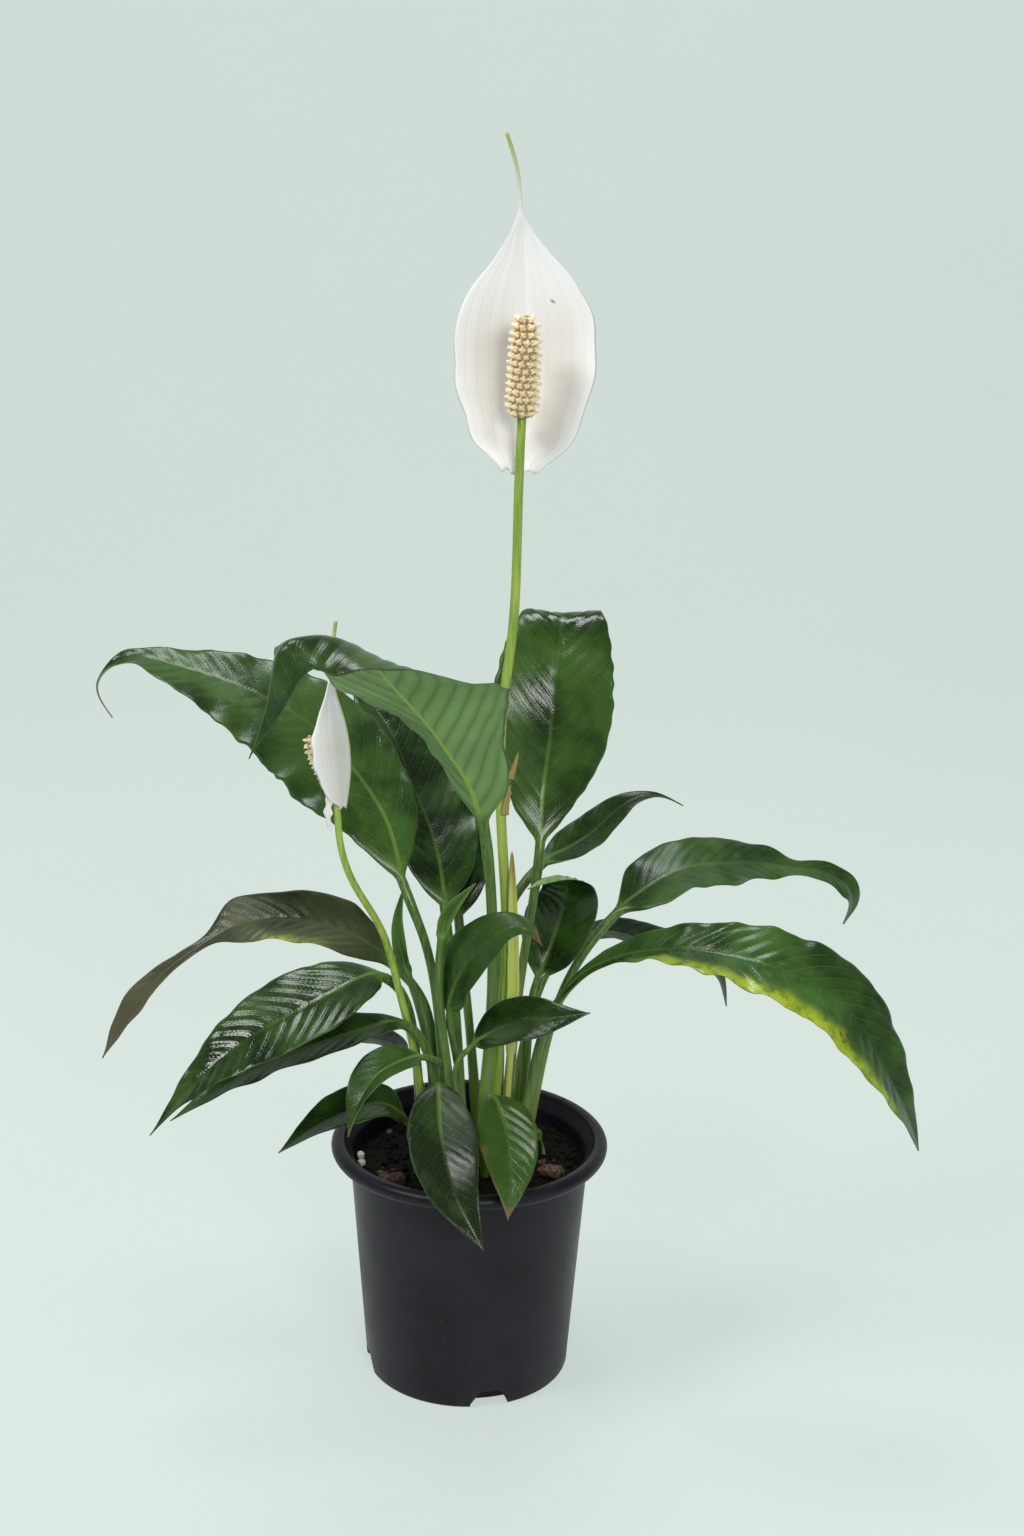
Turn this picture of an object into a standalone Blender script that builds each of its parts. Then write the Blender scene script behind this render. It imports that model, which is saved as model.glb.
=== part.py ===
"""A peace lily in a black nursery pot: leaves, two flowers, soil, and the pot.

Lengths below are in millimetres and MM turns them into metres. +Z is up and the origin is the
middle of the pot's underside. Every point of the plant is measured from the middle of the soil's
surface, so the plant moves with the soil when the pot's height changes.
"""

import math
from dataclasses import dataclass

import bmesh
import bpy
import numpy as np
from mathutils import Vector

MM = 0.001

# The pot.
POT_HEIGHT = 125.0
RIM_DIAMETER = 140.0
BODY_DIAMETER = 121.0
BASE_DIAMETER = 104.0
WALL = 1.5
LIP_WIDTH = 6.7
LIP_DEPTH = 7.5
FOOT_HEIGHT = 2.5
FOOT_WIDTH = 6.0
PAD_DIAMETER = 40.0
NOTCH_WIDTH = 20.0
NOTCH_HEIGHT = 9.0
NOTCH_COUNT = 4
NOTCH_TURN = 14.0
POT_SIDES = 56

# The soil and what lies on it.
SOIL_BELOW_RIM = 15.0
SOIL_ROUGHNESS = 0.8
SOIL_SIDES = 40
GAP = 0.3

# The leaves.
BLADE_THICKNESS = 1.2
STALK_RADIUS = 2.3
STALK_FLARE = 1.35
RIB_SHARE = 0.55
STALK_RINGS = 8
BLADE_RINGS = 15
RING_POINTS = 8

# The flowers.
FLOWER_STEM_RADIUS = 2.1
SPADIX_RADIUS = 7.6
SPADIX_LENGTH = 47.0
SMALL_SPADIX_RADIUS = 4.6
SMALL_SPADIX_LENGTH = 22.0
SPATHE_THICKNESS = 1.2
SPATHE_TAIL_RADIUS = 0.9
BLADE_SHARE_OF_SPATHE = 0.80
SPATHE_WIDTHS = [0.28, 0.68, 0.83, 0.95, 1.0, 0.99, 0.93, 0.72, 0.4, 0.14, 0.0]
TALL_SPATHE_CUP = 0.25
LOW_SPATHE_CUP = 0.6
SEEDLING_STALK_RADIUS = 0.9
SEEDLING_THICKNESS = 0.8

RIM_RADIUS = RIM_DIAMETER / 2
INNER_RADIUS = BODY_DIAMETER / 2 - WALL
SOIL_TOP = POT_HEIGHT - SOIL_BELOW_RIM


@dataclass
class Leaf:
    """One leaf: its stalk and blade grew as one piece.

    stalk and blade are points on the midrib, in mm from the middle of the soil's surface. faces
    are the directions in which the upper side looks, evenly spaced from the blade's base to its
    tip, and folds are the angles, in degrees and spaced in the same way, by which each half rises
    from flat. lean makes the right half wider than the left, or with a minus the left half.
    widths, where given, are shares of half_width from the blade's base to its tip, in place of the
    outline that shoulder and taper draw.
    """

    name: str
    half_width: float
    stalk: list
    blade: list
    faces: list
    folds: tuple = (14, 14)
    shoulder: float = 0.75
    taper: float = 1.2
    widths: tuple = ()
    stalk_radius: float = STALK_RADIUS
    lean: float = 0.0


LEAVES = [
    Leaf("leaf_left_long", 32, [(-9, 6, 0), (-15, 8, 60), (-25, 14, 118)],
         [(-36, 22, 145), (-44, 36, 169), (-59, 50, 189), (-75, 60, 205), (-106, 68, 224),
          (-133, 72, 234), (-157, 74, 240), (-181, 72, 242), (-193, 66, 231), (-185, 60, 215)],
         [(0.3, -0.7, 0.6), (0.2, -0.7, 0.7), (0.1, -0.6, 0.8), (-0.2, -0.4, 0.9), (-0.9, 0, 0.1)],
         folds=[12, 8, 8, 20], shoulder=0.9, taper=1.6, lean=-0.2),
    Leaf("leaf_folded_over", 34, [(4, -4, 0), (9, -4, 60), (10, -5, 130)],
         [(5, -14, 185), (-1, -28, 209), (-10, -43, 228), (-19, -58, 246), (-29, -72, 262),
          (-38, -84, 276), (-47, -94, 289), (-58, -104, 298), (-70, -112, 300), (-77, -118, 299),
          (-85, -120, 276), (-94, -120, 248)],
         [(0.35, 0.9, 0), (0.35, 0.9, 0), (0.4, 0.85, 0.2), (0, 0.15, 1), (-0.4, -0.5, 0.8),
          (-0.8, -0.5, 0.3)],
         folds=[25, 35, 14, -12, -38, -38], stalk_radius=2.6, lean=-0.12,
         widths=[0, 0.44, 0.68, 0.92, 1.2, 1.15, 0.85, 0.66, 0.43, 0.18, 0]),
    Leaf("leaf_upright", 30, [(18, 12, 0), (21, 13, 60), (27, 14, 115)],
         [(33, 20, 166), (34, 29, 190), (37, 34, 217), (39, 41, 244), (41, 50, 262),
          (42, 60, 272), (43, 80, 265), (46, 100, 250)],
         [(0.05, -0.95, 0.3), (0.05, -0.95, 0.3), (0, -0.8, 0.6), (0, 0.2, 1), (0, 0.7, 0.7)],
         folds=[18, 10, 4, 0], shoulder=0.9),
    Leaf("leaf_dark_back", 26, [(-4, 14, 0), (-7, 18, 60), (-12, 28, 108)],
         [(-15, 36, 126), (-17, 44, 139), (-23, 62, 157), (-34, 80, 177), (-45, 96, 198),
          (-58, 110, 213), (-71, 120, 230)],
         [(0.3, -0.8, 0.5), (0.3, -0.8, 0.5), (0.2, -0.6, 0.8), (0, -0.3, 1)]),
    Leaf("leaf_dark_behind", 18, [(4, 20, 0), (-1, 28, 60), (-6, 42, 99)],
         [(-8, 50, 115), (-10, 60, 131), (-13, 72, 146), (-19, 86, 166), (-26, 94, 180)],
         [(0.2, -0.8, 0.5), (0.2, -0.7, 0.7), (0.1, -0.5, 0.9)]),
    Leaf("leaf_left_brown", 21, [(-16, 12, 0), (-19, 14, 50), (-26, 16, 84)],
         [(-41, 18, 101), (-51, 19, 109), (-64, 20, 116), (-82, 22, 121), (-100, 22, 122),
          (-115, 20, 120), (-129, 17, 114), (-142, 14, 106), (-157, 10, 94), (-171, 7, 77),
          (-186, 4, 52)],
         [(-0.1, -0.4, 0.9), (-0.1, -0.3, 0.9), (-0.4, -0.7, 0.6), (-0.6, -0.6, 0.5)],
         folds=[14, 8, 12, 25, 20],
         widths=[0.1, 0.6, 0.95, 1, 0.85, 0.75, 0.2, 0.16, 0.28, 0.36, 0.24, 0]),
    Leaf("leaf_left_glossy", 22, [(-24, 4, 0), (-28, 3, 62), (-36, 0, 94)],
         [(-45, -8, 104), (-68, -28, 103), (-89, -40, 95), (-110, -50, 84), (-128, -58, 70),
          (-141, -62, 56), (-151, -66, 44)],
         [(-0.2, -0.5, 0.8), (-0.3, -0.6, 0.8), (-0.6, -0.5, 0.6)], folds=[10, 5, 15], shoulder=0.7, taper=1.4),
    Leaf("leaf_left_under", 14, [(-16, -7, 0), (-19, -11, 58)],
         [(-33, -14, 81), (-49, -20, 82), (-66, -27, 79), (-84, -34, 75), (-106, -42, 67),
          (-124, -49, 58), (-143, -54, 46)],
         [(-0.1, -0.3, 0.9), (-0.3, -0.4, 0.9), (-0.6, -0.4, 0.7)]),
    Leaf("leaf_rim_left", 14, [(-26, -14, 0), (-28, -19, 26)],
         [(-32, -24, 35), (-41, -29, 45), (-58, -36, 45), (-75, -42, 38), (-92, -48, 27)],
         [(-0.1, -0.4, 0.9), (-0.3, -0.3, 0.9)], stalk_radius=1.6),
    Leaf("leaf_small_folded", 12, [(-9, -12, 0), (-10, -14, 45), (-13, -20, 62)],
         [(-24, -28, 70), (-35, -37, 71), (-44, -46, 68), (-51, -55, 60), (-57, -62, 43)],
         [(0.1, -0.4, 0.9), (-0.4, -0.5, 0.8), (-0.8, -0.5, 0.4)], folds=[25, 25, 35],
         stalk_radius=1.5),
    Leaf("leaf_front_drooping", 17, [(-13, -22, 0), (-15, -25, 35)],
         [(-15, -32, 57), (-14, -48, 49), (-11, -66, 38), (-5, -82, 24), (3, -90, 11), (9, -94, 1)],
         [(0, -0.3, 1), (0, -0.6, 0.8), (0, -0.8, 0.5)], stalk_radius=1.7),
    Leaf("leaf_front_right", 15, [(8, -14, 0), (9, -20, 38)],
         [(12, -30, 50), (17, -44, 45), (20, -58, 36), (21, -74, 24), (20, -84, 12)],
         [(0, -0.3, 1), (0.1, -0.6, 0.8), (0, -0.8, 0.5)], stalk_radius=1.7),
    Leaf("leaf_small_right", 14, [(0, -22, 0), (-4, -28, 45), (-6, -30, 68)],
         [(2, -30, 78), (19, -33, 90), (38, -36, 95), (58, -38, 99)],
         [(-0.1, -0.5, 0.8), (0, -0.5, 0.9)], folds=[18, 5], stalk_radius=1.2),
    Leaf("leaf_centre", 16, [(1, -11, 0), (-4, -16, 45), (-7, -19, 67)],
         [(-10, -25, 93), (-5, -31, 115), (5, -37, 131), (18, -42, 143), (27, -45, 144),
          (34, -48, 137)],
         [(-0.5, -0.7, 0.5), (-0.5, -0.6, 0.6), (0.2, -0.5, 0.8)], stalk_radius=1.7),
    Leaf("leaf_young_spear", 5, [(-6, -17, 0), (-10, -22, 56), (-15, -28, 118)],
         [(-14, -29, 132), (-12, -30, 143), (-6, -31, 153), (2, -32, 162)],
         [(0, -0.9, 0.2), (0, -0.9, 0.2)], folds=[50, 50], stalk_radius=2.0),
    Leaf("leaf_cupped_right", 18, [(25, 2, 0), (28, 8, 50), (31, 18, 83)],
         [(34, 24, 92), (40, 29, 109), (45, 29, 126), (47, 22, 142), (41, 9, 152), (27, -3, 149)],
         [(-0.2, -0.95, 0.2), (-0.2, -0.95, 0.2), (0.1, -0.5, -0.9), (0.3, 0.5, -0.8)], taper=1.3),
    Leaf("leaf_back_right", 11, [(13, 22, 0), (14, 30, 70), (19, 40, 125)],
         [(36, 50, 145), (50, 60, 151), (63, 68, 158), (72, 72, 166), (83, 76, 172), (95, 78, 173),
          (108, 80, 167)],
         [(-0.3, -0.6, 0.7), (-0.1, -0.6, 0.8), (0, -0.2, 1)], taper=1.8),
    Leaf("leaf_right_upper", 19, [(28, 12, 0), (36, 14, 50), (48, 22, 90)],
         [(73, 36, 123), (85, 40, 133), (105, 48, 143), (126, 54, 145), (147, 58, 144),
          (168, 61, 140), (187, 63, 135), (196, 62, 126), (192, 58, 111)],
         [(-0.3, -0.5, 0.8), (-0.1, -0.4, 0.9), (0.1, -0.4, 0.9), (0.9, -0.4, 0.1)],
         folds=[14, 5, 5, 10],
         widths=[0.05, 0.75, 1, 1.02, 0.97, 0.82, 0.56, 0.32, 0.42, 0.46, 0.04]),
    Leaf("leaf_right_large", 23, [(24, -8, 0), (31, -6, 50)],
         [(40, -8, 86), (50, -11, 103), (63, -14, 115), (82, -20, 124), (101, -28, 129),
          (119, -36, 130), (137, -44, 129), (156, -50, 124), (175, -56, 114), (188, -60, 99),
          (199, -63, 80), (208, -65, 62), (215, -66, 43)],
         [(-0.5, -0.5, 0.7), (-0.2, -0.5, 0.85), (0.3, -0.5, 0.8), (0.8, -0.4, 0.5)],
         folds=[35, 20, 5, 10], shoulder=1.8, taper=1.0),
    Leaf("leaf_hidden_right", 13, [(20, 19, 0), (28, 26, 60)],
         [(52, 46, 104), (68, 54, 106), (90, 62, 98), (111, 68, 91), (126, 72, 81), (135, 74, 57)],
         [(-0.1, -0.3, 0.9), (0.1, -0.3, 0.9), (0.8, -0.3, 0.5)], taper=0.9),
    Leaf("leaf_low_back", 10, [(-20, 22, 0), (-26, 28, 30)],
         [(-34, 38, 43), (-48, 48, 45), (-62, 56, 43), (-79, 66, 34)],
         [(0, 0, 1), (-0.2, 0.1, 1)], stalk_radius=1.6),
    Leaf("leaf_narrow_pale", 5, [(-19, -1, 0), (-21, -3, 60)],
         [(-31, -6, 104), (-35, -10, 121), (-36, -10, 136), (-33, -9, 152)],
         [(0, -0.9, 0.2), (0, -0.9, 0.2)], folds=[50, 50], stalk_radius=1.6),
]

# Each flower's stem runs on through the foot of its spathe to the foot of its spadix.
TALL_STEM = [(12, 4, 0), (14, 3, 60), (17, 2, 119), (14, 2, 173), (14, 2, 246), (17, 1, 273),
             (19, 0, 340), (20, -3, 380)]
TALL_SPATHE = [(19, 5, 353), (20, 11, 371), (21, 18, 403), (20, 18, 440), (18, 12, 471),
               (16, 8, 489), (11, 6, 505)]
TALL_SPATHE_FACES = [(0, -1, 0.1), (0, -1, 0.0), (0, -1, -0.2), (0, -1, 0)]
TALL_SPATHE_HALF_WIDTH = 33.0
TALL_SPADIX_AXIS = (0.02, -0.05, 1.0)

LOW_STEM = [(-22, -8, 0), (-28, -7, 63), (-36, -12, 101), (-45, -20, 136), (-56, -26, 158),
            (-63, -30, 184), (-65, -30, 204), (-68, -30, 213)]
LOW_SPATHE = [(-61, -25.5, 198), (-59, -27, 212), (-59, -28, 226), (-62, -29, 243), (-66, -30, 258),
              (-66, -30, 270), (-64, -30, 288)]
LOW_SPATHE_FACES = [(-1, 0.1, 0.1), (-1, 0.1, 0), (-1, 0.1, 0)]
LOW_SPATHE_HALF_WIDTH = 21.0
LOW_SPADIX_AXIS = (-0.25, 0.0, 1.0)

# A spent sheath leaf stands beside the tall flower's stem.
SHEATH_STALK = [(19, 0, 0), (19, -1, 30)]
SHEATH_BLADE = [(20, -2, 60), (21, -2, 100), (20, -2, 140), (19, -2, 168)]

# Bark and perlite on the soil: name, place as shares of the pot's inner radius, size and turn about Z.
CHIPS = [
    ("bark_chip_front", (-0.64, -0.44), (17, 8, 5), 15),
    ("bark_chip_right", (0.71, -0.24), (14, 9, 5), -30),
    ("bark_chip_back", (0.03, 0.75), (15, 7, 4), 40),
    ("bark_chip_side", (0.58, -0.68), (12, 6, 4), 65),
]
PERLITE = [
    ("perlite_left", (-0.94, 0.0), 2.4),
    ("perlite_front", (-0.92, -0.13), 2.1),
]
SEEDLING_PLACE = (38, 10)
SEEDLING_HEIGHT = 16.0


def clear_scene():
    """Remove every object that the scene starts with."""
    for obj in list(bpy.data.objects):
        bpy.data.objects.remove(obj, do_unlink=True)


def material(name, colour, roughness, metallic=0.0):
    """A plain Principled material."""
    made = bpy.data.materials.new(name)
    made.use_nodes = True
    shader = made.node_tree.nodes["Principled BSDF"]
    shader.inputs["Base Color"].default_value = (*colour, 1.0)
    shader.inputs["Roughness"].default_value = roughness
    shader.inputs["Metallic"].default_value = metallic
    return made


def object_from(bm, name, finish):
    """Turn a bmesh into a named object with one material, smooth but for its sharp edges."""
    bmesh.ops.recalc_face_normals(bm, faces=bm.faces)
    mesh = bpy.data.meshes.new(name)
    bm.to_mesh(mesh)
    bm.free()
    mesh.materials.append(finish)
    mesh.shade_smooth()
    mesh.set_sharp_from_angle(angle=math.radians(40))
    obj = bpy.data.objects.new(name, mesh)
    bpy.context.scene.collection.objects.link(obj)
    return obj


def smooth_curve(points, counts):
    """A natural cubic spline through points, parted by arc length.

    counts maps each index at which a stretch ends to the number of stations in that stretch.
    Returns the stations and the unit tangents there.
    """
    points = np.array(points, float)
    n = len(points)
    steps = np.linalg.norm(np.diff(points, axis=0), axis=1)
    knots = np.concatenate([[0.0], np.cumsum(steps)])
    system = np.zeros((n, n))
    right = np.zeros((n, 3))
    system[0, 0] = system[-1, -1] = 1.0
    for i in range(1, n - 1):
        system[i, i - 1] = steps[i - 1]
        system[i, i] = 2 * (steps[i - 1] + steps[i])
        system[i, i + 1] = steps[i]
        right[i] = 6 * ((points[i + 1] - points[i]) / steps[i] - (points[i] - points[i - 1]) / steps[i - 1])
    bend = np.linalg.solve(system, right)
    stations, tangents, start = [], [], 0.0
    for end, count in counts.items():
        for t in np.linspace(start, knots[end], count, endpoint=end == n - 1):
            i = min(int(np.searchsorted(knots, t, side="right")) - 1, n - 2)
            a, b, h = knots[i + 1] - t, t - knots[i], steps[i]
            left = points[i] / h - bend[i] * h / 6
            far = points[i + 1] / h - bend[i + 1] * h / 6
            stations.append((bend[i] * a**3 + bend[i + 1] * b**3) / (6 * h) + left * a + far * b)
            tangent = (bend[i + 1] * b**2 - bend[i] * a**2) / (2 * h) - left + far
            tangents.append(tangent / np.linalg.norm(tangent))
        start = knots[end]
    return np.array(stations), np.array(tangents)


def square_to(direction, tangent):
    """The unit part of direction that is square to tangent."""
    flat = direction - tangent * np.dot(direction, tangent)
    return flat / np.linalg.norm(flat)


def spread(values, share):
    """Read a list of numbers or directions at a share of the way along it."""
    values = np.array(values, float)
    at = share * (len(values) - 1)
    low = min(int(at), len(values) - 2)
    return values[low] + (values[low + 1] - values[low]) * (at - low)


def loft(rings, name, finish):
    """Skin a closed body over rings of points given in mm.

    The two halves of a ring are parted along mirrored diagonals, so the upper and lower sides of a
    thin twisted blade stay parallel and never cross.
    """
    bm = bmesh.new()
    loops = [[bm.verts.new(Vector(p) * MM) for p in ring] for ring in rings]
    for lower, upper in zip(loops, loops[1:]):
        count = len(lower)
        for k in range(count):
            after = (k + 1) % count
            if 2 * k < count:
                bm.faces.new((lower[k], lower[after], upper[after]))
                bm.faces.new((lower[k], upper[after], upper[k]))
            else:
                bm.faces.new((lower[k], lower[after], upper[k]))
                bm.faces.new((lower[after], upper[after], upper[k]))
    bm.faces.new(loops[0])
    bm.faces.new(loops[-1])
    return object_from(bm, name, finish)


def on_soil(points):
    """Lift points measured from the soil's surface into the pot's frame."""
    return [(x, y, z + SOIL_TOP + (GAP + SOIL_ROUGHNESS if i == 0 and z == 0 else 0))
            for i, (x, y, z) in enumerate(points)]


def blade_profile(u, shoulder, taper):
    """The share of the full half width at u along a blade, which is 1 at its widest."""
    widest = shoulder / (shoulder + taper)
    return (u / widest) ** shoulder * ((1 - u) / (1 - widest)) ** taper


def build_leaf(leaf, finish, thickness=BLADE_THICKNESS):
    """A leaf as one closed body: a round stalk that flattens into a folded blade."""
    points = on_soil(leaf.stalk + leaf.blade)
    split = len(leaf.stalk)
    counts = {split: STALK_RINGS, len(points) - 1: BLADE_RINGS}
    stations, tangents = smooth_curve(points, counts)
    tangents[0] = (0, 0, 1)
    normals = [None] * len(stations)
    for i in range(STALK_RINGS, len(stations)):
        u = (i - STALK_RINGS) / (BLADE_RINGS - 1)
        normals[i] = square_to(spread(leaf.faces, u), tangents[i])
    for i in reversed(range(STALK_RINGS)):
        normals[i] = square_to(normals[i + 1], tangents[i])
    rings = []
    for i, (centre, tangent) in enumerate(zip(stations, tangents)):
        side = np.cross(tangent, normals[i])
        u = (i - STALK_RINGS) / (BLADE_RINGS - 1)
        if u < 0:
            share = i / STALK_RINGS
            radius = leaf.stalk_radius * (STALK_FLARE + (1 - STALK_FLARE) * min(1, share * 2))
            wide, thick, rib = radius, radius, radius
        else:
            share = spread(leaf.widths, u) if leaf.widths else blade_profile(u, leaf.shoulder, leaf.taper)
            wide = math.hypot(leaf.half_width * share, leaf.stalk_radius * (1 - u) + 0.2)
            fade = max(0.0, 1 - u * 6)
            thick = leaf.stalk_radius * fade + thickness / 2 * (1 - fade)
            rib = max(thick, leaf.stalk_radius * RIB_SHARE * (1 - u))
        fold = math.radians(spread(leaf.folds, max(0.0, u))) * min(1.0, max(0.0, u * 6))
        ring = []
        for k in range(RING_POINTS):
            angle = 2 * math.pi * k / RING_POINTS
            across = wide * math.cos(angle) * (1 + leaf.lean * math.cos(angle))
            depth = rib if 4 * k == 3 * RING_POINTS else thick
            rise = abs(across) * math.sin(fold)
            ring.append(centre + side * across * math.cos(fold)
                        + normals[i] * (depth * math.sin(angle) + rise))
        rings.append(ring)
    return loft(rings, leaf.name, finish)


def build_stem(name, points, radius, finish):
    """A flower's stem, round all the way up."""
    stations, tangents = smooth_curve(on_soil(points), {len(points) - 1: 26})
    tangents[0] = (0, 0, 1)
    normal = np.array((0.0, -1.0, 0.0))
    rings = []
    for i, (centre, tangent) in enumerate(zip(stations, tangents)):
        normal = square_to(normal, tangent)
        side = np.cross(tangent, normal)
        share = i / (len(stations) - 1)
        wide = radius * (1.3 - 0.45 * share)
        rings.append([centre + wide * (math.cos(a) * side + math.sin(a) * normal)
                      for a in np.linspace(0, 2 * math.pi, 8, endpoint=False)])
    return loft(rings, name, finish), stations[-1], tangents[-1]


def build_spathe(name, points, faces, half_width, cup, finish):
    """A spathe: a broad hooded blade that ends in a thin tail."""
    stations, tangents = smooth_curve(on_soil(points), {len(points) - 1: 20})
    rings = []
    for i, (centre, tangent) in enumerate(zip(stations, tangents)):
        u = i / (len(stations) - 1)
        normal = square_to(spread(faces, u), tangent)
        side = np.cross(tangent, normal)
        s = min(1.0, u / BLADE_SHARE_OF_SPATHE)
        wide = math.hypot(half_width * spread(SPATHE_WIDTHS, s), SPATHE_TAIL_RADIUS)
        thick = SPATHE_THICKNESS / 2
        ring = []
        for a in np.linspace(0, 2 * math.pi, RING_POINTS, endpoint=False):
            across = wide * math.cos(a)
            rise = cup * across**2 / half_width
            ring.append(centre + side * across + normal * (thick * math.sin(a) + rise))
        rings.append(ring)
    return loft(rings, name, finish)


def build_spadix(name, foot, axis, length, radius, finish):
    """A spadix: a round-ended rod that sits a gap above the end of its stem."""
    axis = np.array(axis) / np.linalg.norm(axis)
    side = square_to(np.array((1.0, 0, 0)), axis)
    other = np.cross(axis, side)
    start = np.array(foot) + axis * GAP
    rings = []
    for share in (0.0, 0.04, 0.14, 0.35, 0.6, 0.82, 0.93, 0.98, 1.0):
        round_off = math.sqrt(max(0.06, 1 - max(0, share - 0.75) ** 2 / 0.25**2))
        swell = min(1.0, 0.62 + share * 4)
        wide = radius * round_off * swell * (1 - 0.12 * share)
        rings.append([start + axis * length * share + wide * (math.cos(a) * side + math.sin(a) * other)
                      for a in np.linspace(0, 2 * math.pi, 12, endpoint=False)])
    return loft(rings, name, finish)


def arc(centre, radius, start, end, count):
    """Points on an arc of a profile, from start to end in degrees."""
    return [(centre[0] + radius * math.cos(math.radians(a)), centre[1] + radius * math.sin(math.radians(a)))
            for a in np.linspace(start, end, count)]


def pot_profile():
    """The pot's section: down the outside, in along the underside and up the inside."""
    bead = LIP_DEPTH / 2
    lip_under = POT_HEIGHT - LIP_DEPTH
    inner_lip = RIM_RADIUS - LIP_WIDTH
    pad = PAD_DIAMETER / 2
    base = BASE_DIAMETER / 2
    floor = FOOT_HEIGHT + WALL
    profile = arc((RIM_RADIUS - bead, POT_HEIGHT - bead), bead, 90, -90, 7)
    profile += [
        (BODY_DIAMETER / 2 + 1.0, lip_under),
        (BODY_DIAMETER / 2, lip_under - 1.0),
        (base, 1.0),
        (base - 1.0, 0.0),
        (base - FOOT_WIDTH, 0.0),
        (base - FOOT_WIDTH - 0.6, FOOT_HEIGHT),
        (pad + 0.6, FOOT_HEIGHT),
        (pad, 0.0),
        (0.0, 0.0),
        (0.0, floor),
        (base - WALL - 1.5, floor),
        (base - WALL, floor + 1.5),
        (INNER_RADIUS, lip_under - 1.0),
        (inner_lip, POT_HEIGHT - 2.0),
        (inner_lip + 1.0, POT_HEIGHT - 0.3),
    ]
    return profile


def build_pot(finish):
    """The pot turned from its section, with drain notches cut through its foot."""
    bm = bmesh.new()
    verts = [bm.verts.new((r * MM, 0, z * MM)) for r, z in pot_profile()]
    for a, b in zip(verts, verts[1:] + verts[:1]):
        if a.co.x > 0 or b.co.x > 0:
            bm.edges.new((a, b))
    mesh = bpy.data.meshes.new("pot")
    bm.to_mesh(mesh)
    bm.free()
    mesh.materials.append(finish)
    pot = bpy.data.objects.new("pot", mesh)
    bpy.context.scene.collection.objects.link(pot)
    turn = pot.modifiers.new("turn", "SCREW")
    turn.steps = POT_SIDES
    turn.render_steps = POT_SIDES
    turn.use_merge_vertices = True
    turn.merge_threshold = 0.00005
    cutter = notch_cutter()
    cut = pot.modifiers.new("notches", "BOOLEAN")
    cut.operation = "DIFFERENCE"
    cut.solver = "EXACT"
    cut.object = cutter
    return pot


def notch_cutter():
    """One block for each drain notch, across the wall and the foot."""
    bm = bmesh.new()
    reach = BASE_DIAMETER / 2
    depth = FOOT_WIDTH + 4
    for i in range(NOTCH_COUNT):
        turn = math.radians(-90 + NOTCH_TURN + i * 360 / NOTCH_COUNT)
        made = bmesh.ops.create_cube(bm, size=1.0)["verts"]
        for vert in made:
            narrow = NOTCH_WIDTH * (0.5 if vert.co.z > 0 else 1.0)
            along = reach + vert.co.x * depth * 2
            across = vert.co.y * narrow
            height = NOTCH_HEIGHT if vert.co.z > 0 else -3.0
            vert.co = Vector((along * math.cos(turn) - across * math.sin(turn),
                              along * math.sin(turn) + across * math.cos(turn), height)) * MM
    bmesh.ops.recalc_face_normals(bm, faces=bm.faces)
    mesh = bpy.data.meshes.new("notch_cutter")
    bm.to_mesh(mesh)
    bm.free()
    cutter = bpy.data.objects.new("notch_cutter", mesh)
    bpy.context.scene.collection.objects.link(cutter)
    cutter.hide_render = True
    cutter.display_type = "WIRE"
    return cutter


def inner_radius_at(z):
    """The radius of the pot's inside at height z."""
    low, high = FOOT_HEIGHT + WALL + 1.5, POT_HEIGHT - LIP_DEPTH - 1.0
    low_radius = BASE_DIAMETER / 2 - WALL
    return low_radius + (INNER_RADIUS - low_radius) * (z - low) / (high - low)


def soil_height(radius, angle):
    """How far the soil's surface stands above its mean level there."""
    wave = math.sin(3 * angle + 1.0) * math.cos(radius * 0.21) + math.sin(5 * angle + radius * 0.13)
    return SOIL_ROUGHNESS * wave / 2


def build_soil(finish):
    """The soil as one plug that fills the pot, with a slightly uneven top."""
    floor = FOOT_HEIGHT + WALL + GAP
    low = floor + 2.0
    clear = GAP / math.cos(math.pi / SOIL_SIDES) + 0.4
    low_radius = inner_radius_at(low) - clear
    top_radius = inner_radius_at(SOIL_TOP) - clear
    angles = np.linspace(0, 2 * math.pi, SOIL_SIDES, endpoint=False)
    sections = [(low_radius - 2.5, floor, False), (low_radius, low, False), (top_radius, SOIL_TOP - 1, False)]
    sections += [(top_radius * share, SOIL_TOP, True) for share in (0.86, 0.66, 0.45, 0.24, 0.08)]
    rings = []
    for radius, z, rough in sections:
        rings.append([(radius * math.cos(a), radius * math.sin(a),
                       z + (soil_height(radius, a) if rough else 0)) for a in angles])
    return loft(rings, "soil", finish)


def build_chip(name, place, size, turn, finish):
    """A flat splinter of bark with broken ends, lying a gap above the soil."""
    bm = bmesh.new()
    made = bmesh.ops.create_cube(bm, size=1.0)["verts"]
    angle = math.radians(turn)
    middle_x, middle_y = place[0] * INNER_RADIUS, place[1] * INNER_RADIUS
    for i, vert in enumerate(made):
        pinch = 0.75 + 0.25 * math.cos(2.1 * i)
        x, y = vert.co.x * size[0] * pinch, vert.co.y * size[1] * (1.6 - pinch)
        z = SOIL_TOP + SOIL_ROUGHNESS + GAP + (vert.co.z + 0.5) * size[2] * (1.2 - 0.4 * pinch)
        vert.co = Vector((middle_x + x * math.cos(angle) - y * math.sin(angle),
                          middle_y + x * math.sin(angle) + y * math.cos(angle), z)) * MM
    bmesh.ops.bevel(bm, geom=bm.edges[:], offset=0.9 * MM, segments=1, affect="EDGES")
    return object_from(bm, name, finish)


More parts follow.
